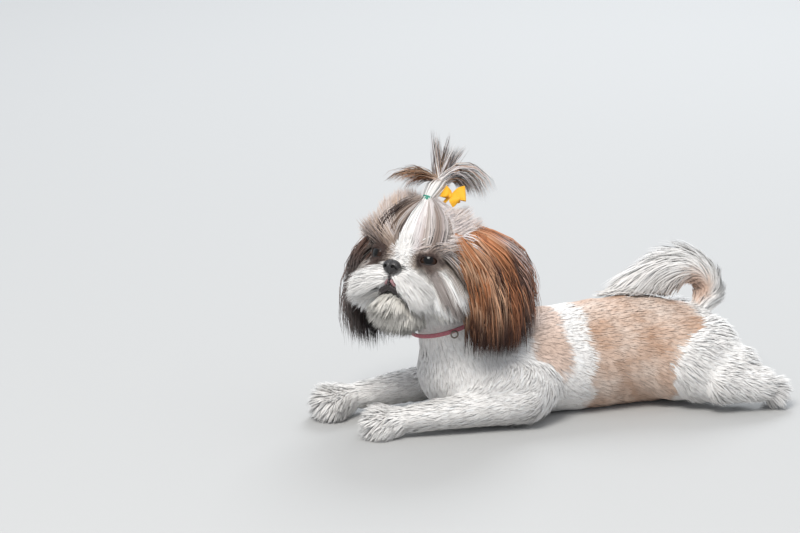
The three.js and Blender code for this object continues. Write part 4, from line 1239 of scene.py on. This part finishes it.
# The bow: three folded loops of soft yellow ribbon pinched by a knot, with two short tails.
BOW_AT = (-12, -19, 76)
RIBBON_THICKNESS = 0.45


def ribbon(name, rows, thickness):
    """A strip of cloth through rows of three points each, given a thickness and rounded."""
    points = [spot(*point) for row in rows for point in row]
    starts = [3 * i + j for i in range(len(rows) - 1) for j in (0, 1)]
    faces = [(a, a + 1, a + 4, a + 3) for a in starts]
    mesh = bpy.data.meshes.new(name)
    mesh.from_pydata(points, [], faces)
    piece = bpy.data.objects.new(name, mesh)
    bpy.context.scene.collection.objects.link(piece)
    applied(piece, "weight", "SOLIDIFY", thickness=thickness * MM, offset=0)
    applied(piece, "drape", "SUBSURF", levels=2, render_levels=2)
    return piece


def loop_rows(side, reach, wide, phase):
    """One loop of the bow: out to its end and back, with pleats that run into the knot."""
    rows = []
    for i in range(17):
        turn = 2 * math.pi * i / 16
        out = side * (0.8 + reach * (1 - math.cos(turn)) / 2)
        deep = 3.0 * math.sin(turn)
        half = 2.0 + wide * math.sin(turn / 2) ** 1.2
        pleat = 1.1 * math.sin(turn * 3 + phase)
        rows.append([
            (deep + pleat, out + 0.8 * math.cos(turn * 2 + phase), -half),
            (deep + 0.4 * pleat, out, 0.8 * math.sin(turn * 4 + phase)),
            (deep - pleat, out + 0.8 * math.sin(turn * 2 + phase), half),
        ])
    return rows


parts = []
for side, reach, wide, phase, lean in [(-1, 15, 6.4, 0.4, -8), (1, 9, 5.0, 1.7, 35), (-1, 9.5, 4.5, 2.9, 48)]:
    loop = ribbon("loop", loop_rows(side, reach, wide, phase), RIBBON_THICKNESS)
    loop.matrix_world = turned(lean, 0, 0)
    parts.append(loop)
for side in (-1, 1):
    rows = []
    for k in range(4):
        forward, out, down = 1.5 + 0.6 * k, 1 + 2.0 * k, 1.8 * k
        rows.append([
            (forward, side * out, -2.2 - down),
            (forward + 0.3, side * (out + 1.6), -1.1 - down),
            (forward, side * (out + 3.2), -0.4 - down),
        ])
    parts.append(ribbon("tail", rows, RIBBON_THICKNESS))
knot = ball(stretched(3.0, 2.2, 3.0), 24, 16)
bow = joined("ribbon_bow", [knot, *parts])
bow.matrix_world = HEAD @ moved(*BOW_AT) @ turned(-12, 0, 14)
place_in_mesh(bow)
bow.data.shade_smooth()
material = finish("yellow ribbon", {"Roughness": 0.6, "Sheen Weight": 0.3})
grained(material, tone(250, 184, 22), 1400, 0.18, 0.5)
bow.data.materials.append(material)
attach(bow, "root")
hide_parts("bow")

# Collar. A narrow dusty pink collar of woven webbing round the neck, tilted down in front, with a small
# steel ring on its left.
COLLAR_STANDOFF = 6
COLLAR_HALF_WIDTH = 2.4
COLLAR_THICKNESS = 1.6
COLLAR_START = 46  # the radius of the hoop before it is drawn in to the neck
bpy.ops.mesh.primitive_cylinder_add(vertices=96, radius=1, depth=2, end_fill_type="NOTHING")
collar = bpy.context.object
collar.name = "collar_webbing"
hoop = stretched(COLLAR_START, COLLAR_START, COLLAR_HALF_WIDTH)
collar.matrix_world = moved(*COLLAR_AT) @ turned(0, COLLAR_LEAN, 0) @ hoop
place_in_mesh(collar)
centre = spot(*COLLAR_AT)
for vertex in collar.data.vertices:
    arm = vertex.co - centre
    rise = COLLAR_AXIS * arm.dot(COLLAR_AXIS)
    ray = (arm - rise).normalized()
    hit, *_ = skin_tree.ray_cast(centre + rise + ray * 0.07, -ray)
    gap = (hit - centre - rise).length if hit is not None else 0.04
    vertex.co = centre + rise + ray * (gap + COLLAR_STANDOFF * MM)
applied(collar, "even", "SMOOTH", factor=0.5, iterations=8, use_z=False)
applied(collar, "webbing", "SOLIDIFY", thickness=COLLAR_THICKNESS * MM, offset=1)
applied(collar, "edge", "BEVEL", width=0.4 * MM, segments=2)
collar.data.shade_smooth()
material = grained(finish("pink webbing", {"Roughness": 0.75}), tone(188, 112, 122), 900, 0.35, 0.8)
collar.data.materials.append(material)
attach(collar, "root")
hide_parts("collar")

# The ring: a small steel ring that hangs from the collar on the left.
RING_RADIUS = 3.4
RING_WIRE = 0.8
hang = centre + spot(-12, -100, 0)
outward = (hang - centre).normalized()
hit, *_ = skin_tree.ray_cast(hang, -outward)
ring_at = hit + outward * 8.5 * MM - COLLAR_AXIS * 5 * MM
bpy.ops.mesh.primitive_torus_add(
    major_segments=48, minor_segments=12, major_radius=RING_RADIUS * MM, minor_radius=RING_WIRE * MM
)
ring = bpy.context.object
ring.name = "collar_ring"
ring.matrix_world = Matrix.Translation(ring_at) @ outward.to_track_quat("Z", "Y").to_matrix().to_4x4()
place_in_mesh(ring)
ring.data.shade_smooth()
material = finish("dull steel", {"Roughness": 0.35, "Metallic": 1.0})
grained(material, tone(142, 134, 124), 700, 0.15, 0.1)
ring.data.materials.append(material)
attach(ring, "root")

# Studio. A wide, flat, pale grey floor under a pale sky of soft light, with one large soft lamp high in
# front on the dog's left and a fainter one behind on its right. The camera stands on the dog's left and a
# little ahead of it, as in the photograph.
FLOOR_SIZE = 60  # metres
bpy.ops.mesh.primitive_plane_add(size=FLOOR_SIZE, location=(0, 0, 0))
floor = bpy.context.object
floor.name = "floor"
looks = {"Base Color": (0.46, 0.46, 0.455, 1), "Roughness": 0.85, "Specular IOR Level": 0.2}
material = finish("pale floor", looks)
floor.data.materials.append(material)

world = bpy.data.worlds.new("studio")
bpy.context.scene.world = world
world.use_nodes = True
sky = {"Color": (0.88, 0.92, 0.98, 1), "Strength": 0.82}
fill(world.node_tree, world.node_tree.nodes["Background"], sky)


def lamp(name, place, aim, size, power, colour):
    light = bpy.data.lights.new(name, "AREA")
    light.shape = "DISK"
    light.size = size
    light.energy = power
    light.color = colour
    holder = bpy.data.objects.new(name, light)
    bpy.context.scene.collection.objects.link(holder)
    holder.location = place
    holder.rotation_euler = (Vector(aim) - Vector(place)).to_track_quat("-Z", "Y").to_euler()


lamp("key", (-1.9, -2.4, 4.2), (-0.02, 0, 0.12), 2.2, 205, (1.0, 0.97, 0.92))
lamp("rim", (1.6, 2.6, 2.8), (0, 0, 0.1), 2.0, 90, (0.92, 0.96, 1.0))

CAMERA_AZIMUTH, CAMERA_ELEVATION, CAMERA_DISTANCE = -20, 14, 3.5
FOCAL_PIXELS = 3395
IMAGE_WIDTH = 800
PICTURE_SHIFT = (-150, 140.5)  # pixels to the right and up, from the frame's origin to the picture's middle
azimuth, elevation = math.radians(CAMERA_AZIMUTH), math.radians(CAMERA_ELEVATION)
rightward = Vector((math.cos(azimuth), math.sin(azimuth), 0))
ahead = Vector((-math.sin(azimuth), math.cos(azimuth), 0))
upward = ahead * math.sin(elevation) + Vector((0, 0, math.cos(elevation)))
look = ahead * math.cos(elevation) - Vector((0, 0, math.sin(elevation)))
scale = FOCAL_PIXELS / CAMERA_DISTANCE  # pixels to a metre at the dog
aim = rightward * (PICTURE_SHIFT[0] / scale) + upward * (PICTURE_SHIFT[1] / scale)
camera_data = bpy.data.cameras.new("camera")
camera_data.lens = FOCAL_PIXELS * camera_data.sensor_width / IMAGE_WIDTH
camera = bpy.data.objects.new("camera", camera_data)
bpy.context.scene.collection.objects.link(camera)
camera.location = aim - look * CAMERA_DISTANCE
camera.rotation_euler = look.to_track_quat("-Z", "Y").to_euler()
camera_data.clip_start, camera_data.clip_end = 0.1, 50
bpy.context.scene.camera = camera
bpy.context.scene.view_settings.view_transform = "Standard"
